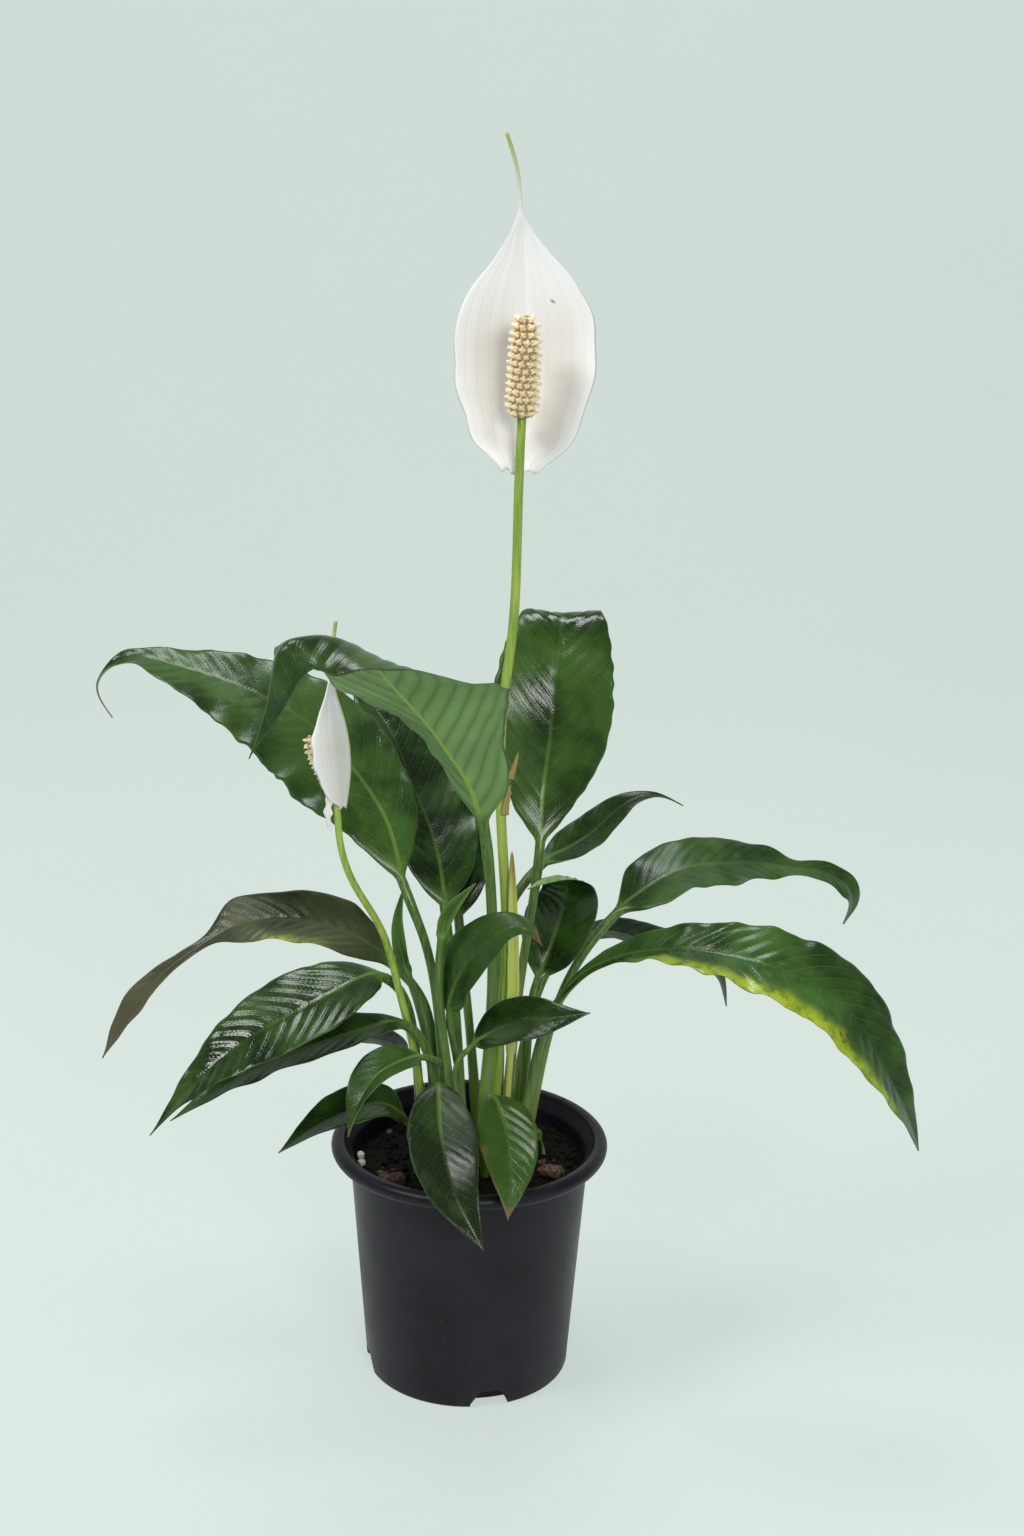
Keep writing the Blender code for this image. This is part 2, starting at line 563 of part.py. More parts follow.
def build_perlite(name, place, radius, finish):
    """A round white grain on the soil."""
    bm = bmesh.new()
    bmesh.ops.create_icosphere(bm, subdivisions=1, radius=radius * MM)
    height = SOIL_TOP + SOIL_ROUGHNESS + GAP + radius
    centre = Vector((place[0] * INNER_RADIUS, place[1] * INNER_RADIUS, height))
    bmesh.ops.translate(bm, verts=bm.verts, vec=centre * MM)
    return object_from(bm, name, finish)


def build_seedling(finish):
    """A small shoot on the soil with one narrow leaf."""
    x, y = SEEDLING_PLACE
    shoot = Leaf("seedling", 3.0, [(x, y, 0), (x - 1, y - 1, SEEDLING_HEIGHT * 0.4)],
                 [(x - 2, y - 2, SEEDLING_HEIGHT * 0.6), (x - 4, y - 5, SEEDLING_HEIGHT * 0.9),
                  (x - 6, y - 10, SEEDLING_HEIGHT)],
                 [(0, -0.6, 0.8), (-0.2, -0.4, 0.9)], stalk_radius=SEEDLING_STALK_RADIUS)
    return build_leaf(shoot, finish, thickness=SEEDLING_THICKNESS)


def main():
    """Build the pot, the soil and the plant."""
    clear_scene()
    build_pot(material("pot_black", (0.03, 0.03, 0.034), 0.45))
    build_soil(material("soil_dark", (0.02, 0.014, 0.01), 0.95))
    bark = material("bark", (0.13, 0.08, 0.05), 0.85)
    for chip in CHIPS:
        build_chip(*chip, bark)
    white = material("perlite", (0.85, 0.85, 0.83), 0.8)
    for grain in PERLITE:
        build_perlite(*grain, white)
    green = material("leaf_green", (0.03, 0.11, 0.03), 0.35)
    for leaf in LEAVES:
        build_leaf(leaf, green)
    build_seedling(green)
    stem_green = material("stem_green", (0.3, 0.5, 0.08), 0.45)
    spathe_white = material("spathe_white", (0.9, 0.89, 0.85), 0.5)
    cream = material("spadix_cream", (0.75, 0.6, 0.35), 0.7)
    _, foot, _ = build_stem("flower_stem_tall", TALL_STEM, FLOWER_STEM_RADIUS, stem_green)
    build_spadix("spadix_tall", foot, TALL_SPADIX_AXIS, SPADIX_LENGTH, SPADIX_RADIUS, cream)
    build_spathe("spathe_tall", TALL_SPATHE, TALL_SPATHE_FACES, TALL_SPATHE_HALF_WIDTH,
                 TALL_SPATHE_CUP, spathe_white)
    _, foot, _ = build_stem("flower_stem_low", LOW_STEM, FLOWER_STEM_RADIUS * 0.75, stem_green)
    build_spadix("spadix_low", foot, LOW_SPADIX_AXIS, SMALL_SPADIX_LENGTH, SMALL_SPADIX_RADIUS, cream)
    build_spathe("spathe_low", LOW_SPATHE, LOW_SPATHE_FACES, LOW_SPATHE_HALF_WIDTH,
                 LOW_SPATHE_CUP, spathe_white)
    sheath = Leaf("sheath_leaf", 3.2, SHEATH_STALK, SHEATH_BLADE, [(-0.2, -1, 0), (-0.2, -1, 0)],
                  folds=[25, 25], shoulder=0.3, taper=0.5, stalk_radius=1.5)
    build_leaf(sheath, material("sheath_yellow", (0.6, 0.6, 0.12), 0.6))


main()
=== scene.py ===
"""The looks of a potted peace lily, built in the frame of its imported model.

Lengths are in millimetres and MM turns them into metres. Points of the plant are measured from the
middle of the soil's surface. Each sub-assembly is a class that builds and dresses its own pieces.
"""

from __future__ import annotations

import logging
import math
from collections.abc import Sequence
from dataclasses import dataclass, field
from enum import Enum
from typing import Any

import bmesh
import bpy
import numpy as np
from mathutils import Matrix, Vector, noise


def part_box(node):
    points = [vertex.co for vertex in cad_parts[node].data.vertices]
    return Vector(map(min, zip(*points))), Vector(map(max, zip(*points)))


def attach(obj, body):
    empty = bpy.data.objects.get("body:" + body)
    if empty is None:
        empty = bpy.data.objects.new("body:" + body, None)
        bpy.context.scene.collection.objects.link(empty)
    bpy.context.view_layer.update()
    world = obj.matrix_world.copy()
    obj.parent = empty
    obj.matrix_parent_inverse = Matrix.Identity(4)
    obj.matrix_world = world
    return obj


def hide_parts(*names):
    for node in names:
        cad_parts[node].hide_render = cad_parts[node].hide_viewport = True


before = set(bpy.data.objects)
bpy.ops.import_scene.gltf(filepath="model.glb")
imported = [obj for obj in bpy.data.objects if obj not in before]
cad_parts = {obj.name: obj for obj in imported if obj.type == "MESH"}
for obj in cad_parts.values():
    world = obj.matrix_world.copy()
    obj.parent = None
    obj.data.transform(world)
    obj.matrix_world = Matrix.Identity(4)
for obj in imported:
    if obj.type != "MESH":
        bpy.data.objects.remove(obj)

LOG = logging.getLogger("peace_lily")

MM = 0.001
SOIL_TOP = 110.0
SOIL_SWELL = 1.1
BURIED = 3.0
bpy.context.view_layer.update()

Colour = tuple[float, float, float]
Point = tuple[float, float, float]
Body = tuple[np.ndarray, list[Any]]
Ring = tuple[np.ndarray, dict[str, Any]]
Socket = bpy.types.NodeSocket


class Slot(Enum):
    """The material slots that the pieces are logged under."""

    POT = "pot"
    SOIL = "soil"
    LEAF = "leaf"
    LEAF_BROWN = "leaf_brown"
    LEAF_YELLOWING = "leaf_yellowing"
    LEAF_PALE = "leaf_pale"
    SHEATH = "sheath"
    STEM = "stem"
    SPATHE = "spathe"
    SPADIX = "spadix"
    BARK = "bark"
    PERLITE = "perlite"


# ---------------------------------------------------------------- curves and surfaces


def smoothstep(low: float, high: float, value: Any) -> Any:
    """Rise smoothly from 0 at low to 1 at high, for a number or an array."""
    t = np.clip((value - low) / (high - low), 0.0, 1.0)
    return t * t * (3 - 2 * t)


class Midline:
    """A natural cubic spline through given points."""

    def __init__(self, points: Sequence[Point]) -> None:
        """Solve the spline.

        Args:
            points: The points that it passes through, in mm.
        """
        self.points = np.array(points, float)
        count = len(self.points)
        self.steps = np.linalg.norm(np.diff(self.points, axis=0), axis=1)
        self.knots = np.concatenate([[0.0], np.cumsum(self.steps)])
        system = np.eye(count)
        right = np.zeros((count, 3))
        for i in range(1, count - 1):
            before, after = self.steps[i - 1], self.steps[i]
            system[i, i - 1 : i + 2] = before, 2 * (before + after), after
            rise = (self.points[i + 1] - self.points[i]) / after
            run = (self.points[i] - self.points[i - 1]) / before
            right[i] = 6 * (rise - run)
        self.bend = np.linalg.solve(system, right)

    def at(self, t: float) -> tuple[np.ndarray, np.ndarray]:
        """Read the place and the unit tangent at a length along the points.

        Args:
            t: The length from the first point, in mm.

        Returns:
            The place and the unit tangent.
        """
        i = min(int(np.searchsorted(self.knots, t, side="right")) - 1, len(self.points) - 2)
        a, b, h = self.knots[i + 1] - t, t - self.knots[i], self.steps[i]
        left = self.points[i] / h - self.bend[i] * h / 6
        far = self.points[i + 1] / h - self.bend[i + 1] * h / 6
        place = (self.bend[i] * a**3 + self.bend[i + 1] * b**3) / (6 * h) + left * a + far * b
        tangent = (self.bend[i + 1] * b**2 - self.bend[i] * a**2) / (2 * h) - left + far
        return place, tangent / np.linalg.norm(tangent)


def square_to(direction: np.ndarray, tangent: np.ndarray) -> np.ndarray:
    """Give the unit part of a direction that is square to a unit tangent."""
    flat = direction - tangent * np.dot(direction, tangent)
    return flat / np.linalg.norm(flat)


def spread(values: Sequence[Any], share: float) -> Any:
    """Read evenly spaced values at a share of the way along, with a smooth curve through them.

    Args:
        values: Numbers or directions.
        share: From 0 at the first to 1 at the last.

    Returns:
        The value there.
    """
    keys = np.array(values, float)
    last = len(keys) - 1
    at = min(max(share, 0.0), 1.0) * last
    i = min(int(at), last - 1)
    t = at - i
    before, after = keys[max(i - 1, 0)], keys[min(i + 2, last)]
    low, high = keys[i], keys[i + 1]
    start, end = (high - before) / 2, (after - low) / 2
    return (
        low * (2 * t**3 - 3 * t**2 + 1)
        + start * (t**3 - 2 * t**2 + t)
        + high * (3 * t**2 - 2 * t**3)
        + end * (t**3 - t**2)
    )


def ripple(seed: int, values: np.ndarray, count: int = 4) -> np.ndarray:
    """Sum a few sine waves with fixed random pitches.

    Args:
        seed: Which set of waves.
        values: Where to read them, in waves.
        count: How many waves are summed.

    Returns:
        Heights between about -1 and 1.
    """
    draw = np.random.default_rng(seed)
    total = np.zeros_like(np.asarray(values, float))
    for _ in range(count):
        pitch = draw.uniform(0.55, 1.9)
        total = total + np.sin(2 * math.pi * (values * pitch + draw.uniform(0, 1)))
    return total / count


def piece_from(
    name: str,
    verts: np.ndarray,
    faces: list[Any],
    material: bpy.types.Material,
    traits: dict[str, np.ndarray] | None = None,
) -> bpy.types.Object:
    """Make a smooth mesh object from points in mm.

    Args:
        name: The piece's name.
        verts: The points, in mm.
        faces: Lists of point numbers.
        material: The finish.
        traits: Named numbers for each point, which the finish reads.

    Returns:
        The object.
    """
    mesh = bpy.data.meshes.new(name)
    mesh.from_pydata((np.asarray(verts, float) * MM).tolist(), [], faces)
    for trait, values in (traits or {}).items():
        made = mesh.attributes.new(trait, "FLOAT", "POINT")
        made.data.foreach_set("value", np.asarray(values, np.float32).ravel())
    tidy = bmesh.new()
    tidy.from_mesh(mesh)
    bmesh.ops.recalc_face_normals(tidy, faces=tidy.faces)
    tidy.to_mesh(mesh)
    tidy.free()
    mesh.materials.append(material)
    mesh.shade_smooth()
    made_object = bpy.data.objects.new(name, mesh)
    bpy.context.scene.collection.objects.link(made_object)
    return made_object


def tube_faces(rings: int, around: int) -> list[Any]:
    """List the faces of a closed tube of rings, with a cap at each end.

    Args:
        rings: How many rings.
        around: How many points are in each ring.

    Returns:
        Lists of point numbers.
    """
    faces: list[Any] = []
    for i in range(rings - 1):
        for k in range(around):
            after = (k + 1) % around
            low, high = i * around, (i + 1) * around
            faces.append((low + k, low + after, high + after, high + k))
    faces.append(tuple(range(around)))
    faces.append(tuple(range((rings - 1) * around, rings * around)))
    return faces


def circle(count: int) -> np.ndarray:
    """Give evenly spaced angles round a circle."""
    return np.linspace(0, 2 * math.pi, count, endpoint=False)


def above_soil(points: Sequence[Point]) -> list[Point]:
    """Turn heights above the soil into heights above the floor."""
    return [(x, y, z + SOIL_TOP) for x, y, z in points]


def rooted(points: Sequence[Point]) -> list[Point]:
    """Raise a stalk's points too, the first of them clear of the soil's bumps."""
    raised = above_soil(points)
    return [(*raised[0][:2], SOIL_TOP + SOIL_SWELL), *raised[1:]]


def join(bodies: Sequence[Body]) -> Body:
    """Join closed bodies into one list of points and one of faces.

    Args:
        bodies: Each body's points and faces.

    Returns:
        All the points and all the faces.
    """
    faces: list[Any] = []
    count = 0
    for points, own in bodies:
        faces += [tuple(corner + count for corner in face) for face in own]
        count += len(points)
    return np.concatenate([points for points, _ in bodies]), faces


@dataclass(frozen=True)
class Section:
    """The points round a thin blade: their turns, which lie on the upper side, and even steps across."""

    around: np.ndarray
    upper: np.ndarray
    even: np.ndarray

    @classmethod
    def of(cls, columns: int) -> Section:
        """Space the points round a blade.

        Args:
            columns: How many points cross the upper side.

        Returns:
            The section.
        """
        turns = np.linspace(0, math.pi, columns)
        around = np.concatenate([turns, 2 * math.pi - turns[-2:0:-1]])
        upper = np.arange(len(around)) < columns
        folded = np.where(upper, around, 2 * math.pi - around)
        return cls(around, upper, np.interp(folded, turns, np.linspace(1, -1, columns)))

    def under(self) -> np.ndarray:
        """Mark the points of the underside with 1."""
        return (~self.upper).astype(float)

    def facing(self) -> np.ndarray:
        """Give 1 on the upper side and -1 on the underside."""
        return np.where(self.upper, 1.0, -1.0)

    def across(self, flat: float) -> np.ndarray:
        """Give places across from 1 to -1, spaced as on a round at flat 0 and evenly at flat 1."""
        return np.cos(self.around) * (1 - flat) + self.even * flat


@dataclass(frozen=True)
class Cut:
    """Where a ring crosses its midrib: how far along, the place, and the directions there."""

    mark: float
    spot: np.ndarray
    tangent: np.ndarray
    normal: np.ndarray

    def side(self) -> np.ndarray:
        """Give the direction across."""
        return np.cross(self.tangent, self.normal)

    def ring(self, x: np.ndarray, y: np.ndarray) -> np.ndarray:
        """Place points that lie x across and y towards the normal."""
        return self.spot + np.outer(x, self.side()) + np.outer(y, self.normal)


class Skin:
    """Rings of points with named traits, which close into one piece."""

    def __init__(self) -> None:
        """Start with no rings."""
        self.rings: list[np.ndarray] = []
        self.traits: dict[str, list[np.ndarray]] = {}

    def add(self, ring: np.ndarray, traits: dict[str, Any] | None = None) -> None:
        """Add a ring.

        Args:
            ring: Its points, in mm.
            traits: A number, or one for each point, under each trait's name.
        """
        self.rings.append(ring)
        for name, value in (traits or {}).items():
            self.traits.setdefault(name, []).append(np.broadcast_to(value, len(ring)))

    def bury(self) -> None:
        """Repeat the first ring below the soil's surface."""
        self.rings.insert(0, self.rings[0] - np.array((0.0, 0.0, SOIL_SWELL + BURIED)))
        for values in self.traits.values():
            values.insert(0, values[0])

    def body(self) -> Body:
        """Close the rings with a cap at each end."""
        return np.concatenate(self.rings), tube_faces(len(self.rings), len(self.rings[0]))

    def piece(self, name: str, material: bpy.types.Material) -> bpy.types.Object:
        """Make a piece of this one body."""
        return bundle(name, [self], material)


def bundle(name: str, skins: Sequence[Skin], material: bpy.types.Material) -> bpy.types.Object:
    """Join bodies with the same traits into one piece.

    Args:
        name: The piece's name.
        skins: The bodies.
        material: Its finish.

    Returns:
        The piece.
    """
    traits = {
        trait: np.concatenate([values for skin in skins for values in skin.traits[trait]])
        for trait in skins[0].traits
    }
    return piece_from(name, *join([skin.body() for skin in skins]), material, traits)


def place(piece: bpy.types.Object, slot: Slot, *nodes: str) -> None:
    """Put a finished piece in the frame.

    Args:
        piece: The piece.
        slot: The material slot that the log names for it.
        nodes: The model's nodes that it stands for.
    """
    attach(piece, "root")
    if nodes:
        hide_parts(*nodes)
    LOG.info("%s: %d faces, slot %s", piece.name, len(piece.data.polygons), slot.value)


# ---------------------------------------------------------------- finishes


class Nodes:
    """A node tree with short calls that add nodes and join them."""

    def __init__(self, tree: bpy.types.NodeTree) -> None:
        """Keep the tree that the calls add to."""
        self.tree = tree

    def put(self, socket: Socket, value: Any) -> None:
        """Link a socket to another one, or give it a value.

        Args:
            socket: The input.
            value: An output socket, a number, a vector or a colour.
        """
        if isinstance(value, Socket):
            self.tree.links.new(value, socket)
        elif isinstance(value, (tuple, list)) and len(value) == 3 and socket.type == "RGBA":
            socket.default_value = (*value, 1.0)
        else:
            socket.default_value = value

    def add(self, kind: str, inputs: dict[Any, Any] | None = None, **settings: Any) -> bpy.types.Node:
        """Add a node.

        Args:
            kind: The node's type, without ShaderNode.
            inputs: What goes into each input, by name or number.
            settings: The node's own settings.

        Returns:
            The node.
        """
        node = self.tree.nodes.new("ShaderNode" + kind)
        for name, value in settings.items():
            setattr(node, name, value)
        for name, value in (inputs or {}).items():
            self.put(node.inputs[name], value)
        return node

    def math(self, operation: str, a: Any, b: Any = 0.0, clamp: bool = False) -> Socket:
        """Add a Math node, clamped to 0 and 1 if asked."""
        return self.add("Math", {0: a, 1: b}, operation=operation, use_clamp=clamp).outputs[0]

    def times(self, a: Any, b: Any, clamp: bool = False) -> Socket:
        """Multiply two values."""
        return self.math("MULTIPLY", a, b, clamp)

    def plus(self, a: Any, b: Any, clamp: bool = False) -> Socket:
        """Add two values."""
        return self.math("ADD", a, b, clamp)

    def minus(self, a: Any, b: Any, clamp: bool = False) -> Socket:
        """Take the second value from the first."""
        return self.math("SUBTRACT", a, b, clamp)

    def larger(self, a: Any, b: Any, clamp: bool = False) -> Socket:
        """Take the larger of two values."""
        return self.math("MAXIMUM", a, b, clamp)

    def remap(self, value: Any, low: Any, high: Any, start: float = 0.0, end: float = 1.0) -> Socket:
        """Map low to high onto start to end, smoothly."""
        inputs = {"Value": value, "From Min": low, "From Max": high, "To Min": start, "To Max": end}
        return self.add("MapRange", inputs, interpolation_type="SMOOTHSTEP").outputs["Result"]

    def mix(self, factor: Any, a: Any, b: Any) -> Socket:
        """Mix two colours.

        Args:
            factor: The share of the second.
            a: The first colour.
            b: The second colour.

        Returns:
            The mixed colour.
        """
        node = self.add("Mix", data_type="RGBA")
        for number, value in ((0, factor), (6, a), (7, b)):
            self.put(node.inputs[number], value)
        return node.outputs[2]

    def noise(self, vector: Any, scale: Any, detail: float = 4.0, roughness: float = 0.55) -> Socket:
        """Read a noise texture: its scale is per metre, and detail and roughness set its finer layers."""
        inputs = {"Vector": vector, "Scale": scale, "Detail": detail, "Roughness": roughness}
        return self.add("TexNoise", inputs).outputs["Fac"]

    def trait(self, name: str) -> Socket:
        """Read one of the mesh's named numbers."""
        return self.add("Attribute", attribute_name=name).outputs["Fac"]

    def effect(self, name: str, **inputs: Any) -> Any:
        """Place a shared effect.

        Args:
            name: The effect's name.
            inputs: What goes into each of its inputs.

        Returns:
            Its outputs.
        """
        group = self.add("Group")
        group.node_tree = Effect.made[name]
        for label, value in inputs.items():
            self.put(group.inputs[label], value)
        return group.outputs

    def bump(self, height: Any, distance: float, strength: float, normal: Any = None) -> Socket:
        """Turn a height into a normal.

        Args:
            height: The height, from 0 to 1.
            distance: What a height of 1 stands for, in metres.
            strength: How much of the bump is used.
            normal: Another bump's normal, which this one adds to.

        Returns:
            The normal.
        """
        inputs = {"Height": height, "Distance": distance, "Strength": strength}
        if normal is not None:
            inputs["Normal"] = normal
        return self.add("Bump", inputs).outputs["Normal"]


class Effect:
    """A shader node group that several finishes share."""

    made: dict[str, bpy.types.NodeTree] = {}

    def __init__(self, name: str, inputs: dict[str, tuple[str, Any]], outputs: dict[str, str]) -> None:
        """Start a group with named sockets.

        Args:
            name: The group's name.
            inputs: Each input's kind and first value.
            outputs: Each output's kind.
        """
        self.tree = bpy.data.node_groups.new(name, "ShaderNodeTree")
        for label, (kind, first) in inputs.items():
            made = self.tree.interface.new_socket(label, in_out="INPUT", socket_type=kind)
            if first is not None:
                made.default_value = first
        for label, kind in outputs.items():
            self.tree.interface.new_socket(label, in_out="OUTPUT", socket_type=kind)
        self.nodes = Nodes(self.tree)
        self.source = self.tree.nodes.new("NodeGroupInput").outputs
        self.result = self.tree.nodes.new("NodeGroupOutput").inputs
        Effect.made[name] = self.tree

    def give(self, label: str, value: Any) -> None:
        """Join a value to one of the group's outputs."""
        self.nodes.put(self.result[label], value)


FLOAT = "NodeSocketFloat"
VECTOR = "NodeSocketVector"


def make_mottle() -> None:
    """Make the effect that breaks a colour into soft patches with finer specks."""
    effect = Effect(
        "mottle",
        {"Vector": (VECTOR, None), "Scale": (FLOAT, 60.0), "Contrast": (FLOAT, 0.25)},
        {"Mask": FLOAT, "Specks": FLOAT},
    )
    nodes, source = effect.nodes, effect.source
    inputs = {"Vector": source["Vector"], "Scale": source["Scale"], "Detail": 5.0}
    soft = nodes.add("TexNoise", inputs).outputs["Fac"]
    low = nodes.minus(0.5, source["Contrast"])
    high = nodes.plus(0.5, source["Contrast"])
    inputs = {"Value": soft, "From Min": low, "From Max": high}
    effect.give("Mask", nodes.add("MapRange", inputs, interpolation_type="SMOOTHSTEP").outputs["Result"])
    fine = nodes.times(source["Scale"], 14.0)
    cells = nodes.add("TexNoise", {"Vector": source["Vector"], "Scale": fine, "Detail": 2.0}).outputs["Fac"]
    effect.give("Specks", nodes.remap(cells, 0.62, 0.74))


def make_veins() -> None:
    """Make the effect that draws a blade's midrib, side veins and fine net of veins."""
    effect = Effect(
        "veins",
        {
            "Vector": (VECTOR, None),
            "Phase": (FLOAT, 0.0),
            "Rib": (FLOAT, 0.0),
            "Edge": (FLOAT, 0.0),
            "Vein Width": (FLOAT, 0.1),
            "Rib Width": (FLOAT, 1.2),
        },
        {"Vein": FLOAT, "Swell": FLOAT, "Midrib": FLOAT, "Margin": FLOAT, "Height": FLOAT},
    )
    nodes, source = effect.nodes, effect.source
    near = nodes.math("PINGPONG", source["Phase"], 0.5)
    effect.give("Swell", nodes.remap(near, 0.05, 0.4))
    thin = nodes.math("DIVIDE", near, source["Vein Width"])
    line = nodes.minus(1.0, nodes.remap(thin, 0.0, 1.0))
    inside = nodes.remap(source["Edge"], 0.97, 0.72)
    vein = nodes.times(line, inside)
    effect.give("Vein", vein)
    across = nodes.math("DIVIDE", source["Rib"], source["Rib Width"])
    effect.give("Midrib", nodes.minus(1.0, nodes.remap(across, 0.45, 1.0)))
    effect.give("Margin", nodes.remap(source["Edge"], 0.965, 0.99))
    between = nodes.math("PINGPONG", nodes.times(source["Phase"], 5.0), 0.5)
    strands = nodes.remap(between, 0.0, 0.5)
    net = nodes.add("TexVoronoi", {"Vector": source["Vector"], "Scale": 620.0}, feature="DISTANCE_TO_EDGE")
    cells = nodes.remap(net.outputs["Distance"], 0.0, 0.16)
    grain = nodes.plus(nodes.times(strands, 0.45), nodes.times(cells, 0.35))
    effect.give("Height", nodes.minus(grain, nodes.times(vein, 0.5)))


def make_fibres() -> None:
    """Make the effect that draws lengthwise fibres on a stalk or a dry sheath."""
    effect = Effect(
        "fibres",
        {"Vector": (VECTOR, None), "Fineness": (FLOAT, 900.0), "Stretch": (FLOAT, 0.05)},
        {"Mask": FLOAT, "Height": FLOAT},
    )
    nodes, source = effect.nodes, effect.source
    scale = nodes.add("CombineXYZ", {"X": 1.0, "Y": 1.0, "Z": source["Stretch"]}).outputs[0]
    drawn = nodes.add("VectorMath", {0: source["Vector"], 1: scale}, operation="MULTIPLY").outputs[0]
    inputs = {"Vector": drawn, "Scale": source["Fineness"], "Detail": 3.0}
    lines = nodes.add("TexNoise", inputs).outputs["Fac"]
    effect.give("Mask", nodes.remap(lines, 0.4, 0.62))
    effect.give("Height", lines)


def make_dust() -> None:
    """Make the effect that lays dust and fine scuffs on a surface."""
    effect = Effect(
        "dust",
        {"Vector": (VECTOR, None), "Amount": (FLOAT, 0.5), "Scale": (FLOAT, 45.0)},
        {"Mask": FLOAT, "Scuff": FLOAT},
    )
    nodes, source = effect.nodes, effect.source
    inputs = {"Vector": source["Vector"], "Scale": source["Scale"], "Detail": 8.0, "Roughness": 0.7}
    cloud = nodes.add("TexNoise", inputs).outputs["Fac"]
    patch = nodes.remap(cloud, 0.5, 0.78)
    effect.give("Mask", nodes.times(patch, source["Amount"], clamp=True))
    inputs = {"Vector": source["Vector"], "Rotation": (0.3, 0.2, 0.9), "Scale": (1.0, 0.06, 0.35)}
    tilt = nodes.add("Mapping", inputs)
    fine = nodes.times(source["Scale"], 22.0)
    inputs = {"Vector": tilt.outputs[0], "Scale": fine, "Detail": 2.0}
    lines = nodes.add("TexNoise", inputs).outputs["Fac"]
    effect.give("Scuff", nodes.remap(lines, 0.66, 0.75))


class Coat(Nodes):
    """A material in the making, with the place on its piece in metres."""

    def __init__(self, name: str) -> None:
        """Start the material.

        Args:
            name: The material's name.
        """
        self.made = bpy.data.materials.new(name)
        self.made.use_nodes = True
        super().__init__(self.made.node_tree)
        self.shader = self.made.node_tree.nodes["Principled BSDF"].inputs
        self.spot = self.add("TexCoord").outputs["Object"]

    def done(self, colour: Any, roughness: Any, normal: Any, specular: float = 0.5) -> bpy.types.Material:
        """Feed the material's shader.

        Args:
            colour: The base colour.
            roughness: The roughness.
            normal: The normal, or None for the plain surface.
            specular: The strength of the clear reflection.

        Returns:
            The material.
        """
        self.put(self.shader["Base Color"], colour)
        self.put(self.shader["Roughness"], roughness)
        if normal is not None:
            self.put(self.shader["Normal"], normal)
        self.shader["Specular IOR Level"].default_value = specular
        return self.made


@dataclass(frozen=True)
class Finish:
    """What every finish has: the name of its material."""

    name: str


@dataclass(frozen=True)
class LeafFinish(Finish):
    """Waxy leaf: dark upper side, paler underside, pale midrib, and patches where it ages."""

    deep: Colour
    light: Colour
    underside: Colour
    rib: Colour
    vein: Colour
    aged: Colour
    scorched: Colour = (0.16, 0.09, 0.035)
    stalk: Colour = (0.06, 0.13, 0.022)
    foot: Colour = (0.2, 0.3, 0.07)
    gloss: float = 0.25
    vein_share: float = 0.22
    net: float = 0.3

    def material(self) -> bpy.types.Material:
        """Make the material.

        Returns:
            The material.
        """
        nodes = Coat(self.name)
        spot = nodes.spot
        mottle = nodes.effect("mottle", Vector=spot, Scale=38.0, Contrast=0.2)
        names = ("phase", "rib", "edge", "under", "blade", "along")
        phase, rib, edge, under, blade, along = map(nodes.trait, names)
        veins = nodes.effect("veins", Vector=spot, Phase=phase, Rib=rib, Edge=edge)
        tone = nodes.plus(mottle["Mask"], nodes.trait("tone"), clamp=True)
        top = nodes.mix(tone, self.deep, self.light)
        # Painted highlight: the swells between the side veins are lightened on the upper side; on the
        # underside, shaded darkens the grooves along the veins as painted shade.
        top = nodes.mix(nodes.times(veins["Swell"], 0.12), top, self.light)
        top = nodes.mix(nodes.times(veins["Vein"], self.vein_share), top, self.vein)
        shaded = nodes.times(nodes.minus(1.0, veins["Swell"]), 0.28)
        back = nodes.mix(shaded, self.underside, self.light)
        back = nodes.mix(nodes.times(veins["Vein"], 0.4), back, self.light)
        back = nodes.mix(nodes.times(mottle["Mask"], self.net), back, self.light)
        colour = nodes.mix(under, top, back)
        broken = nodes.noise(spot, 160.0, 6.0, 0.7)
        ragged = nodes.times(nodes.trait("aged"), nodes.remap(broken, 0.25, 0.6), clamp=True)
        colour = nodes.mix(ragged, colour, self.aged)
        near = nodes.remap(along, 0.0, 0.5, 0.3, 0.05)
        rib_share = nodes.larger(near, nodes.times(under, 0.95))
        rib_share = nodes.times(veins["Midrib"], rib_share)
        colour = nodes.mix(rib_share, colour, self.rib)
        # The thin margin is mixed towards the paler underside colour: partly the blade's own pale edge, partly
        # a painted highlight where the rim catches the light.
        colour = nodes.mix(nodes.times(veins["Margin"], 0.35), colour, self.underside)
        burnt = nodes.times(nodes.trait("scorch"), nodes.remap(broken, 0.15, 0.5), clamp=True)
        colour = nodes.mix(burnt, colour, self.scorched)
        fibres = nodes.effect("fibres", Vector=spot, Fineness=700.0, Stretch=0.06)
        low = nodes.remap(along, -1.0, -0.25, 0.0, 1.0)
        stalk = nodes.mix(low, self.foot, self.stalk)
        stalk = nodes.mix(nodes.times(fibres["Mask"], 0.35), stalk, self.foot)
        colour = nodes.mix(blade, stalk, colour)
        colour = nodes.mix(nodes.times(mottle["Specks"], 0.1), colour, self.rib)
        shade = nodes.remap(mottle["Mask"], 0.0, 1.0, self.gloss, self.gloss + 0.1)
        dull = nodes.plus(shade, nodes.times(under, 0.16))
        dull = nodes.minus(dull, nodes.times(nodes.trait("shine"), 0.14))
        dull = nodes.plus(dull, nodes.times(burnt, 0.3), clamp=True)
        roughness = dull
        height = nodes.mix(blade, fibres["Height"], veins["Height"])
        return nodes.done(colour, roughness, nodes.bump(height, 0.00012, 0.35), 0.36)


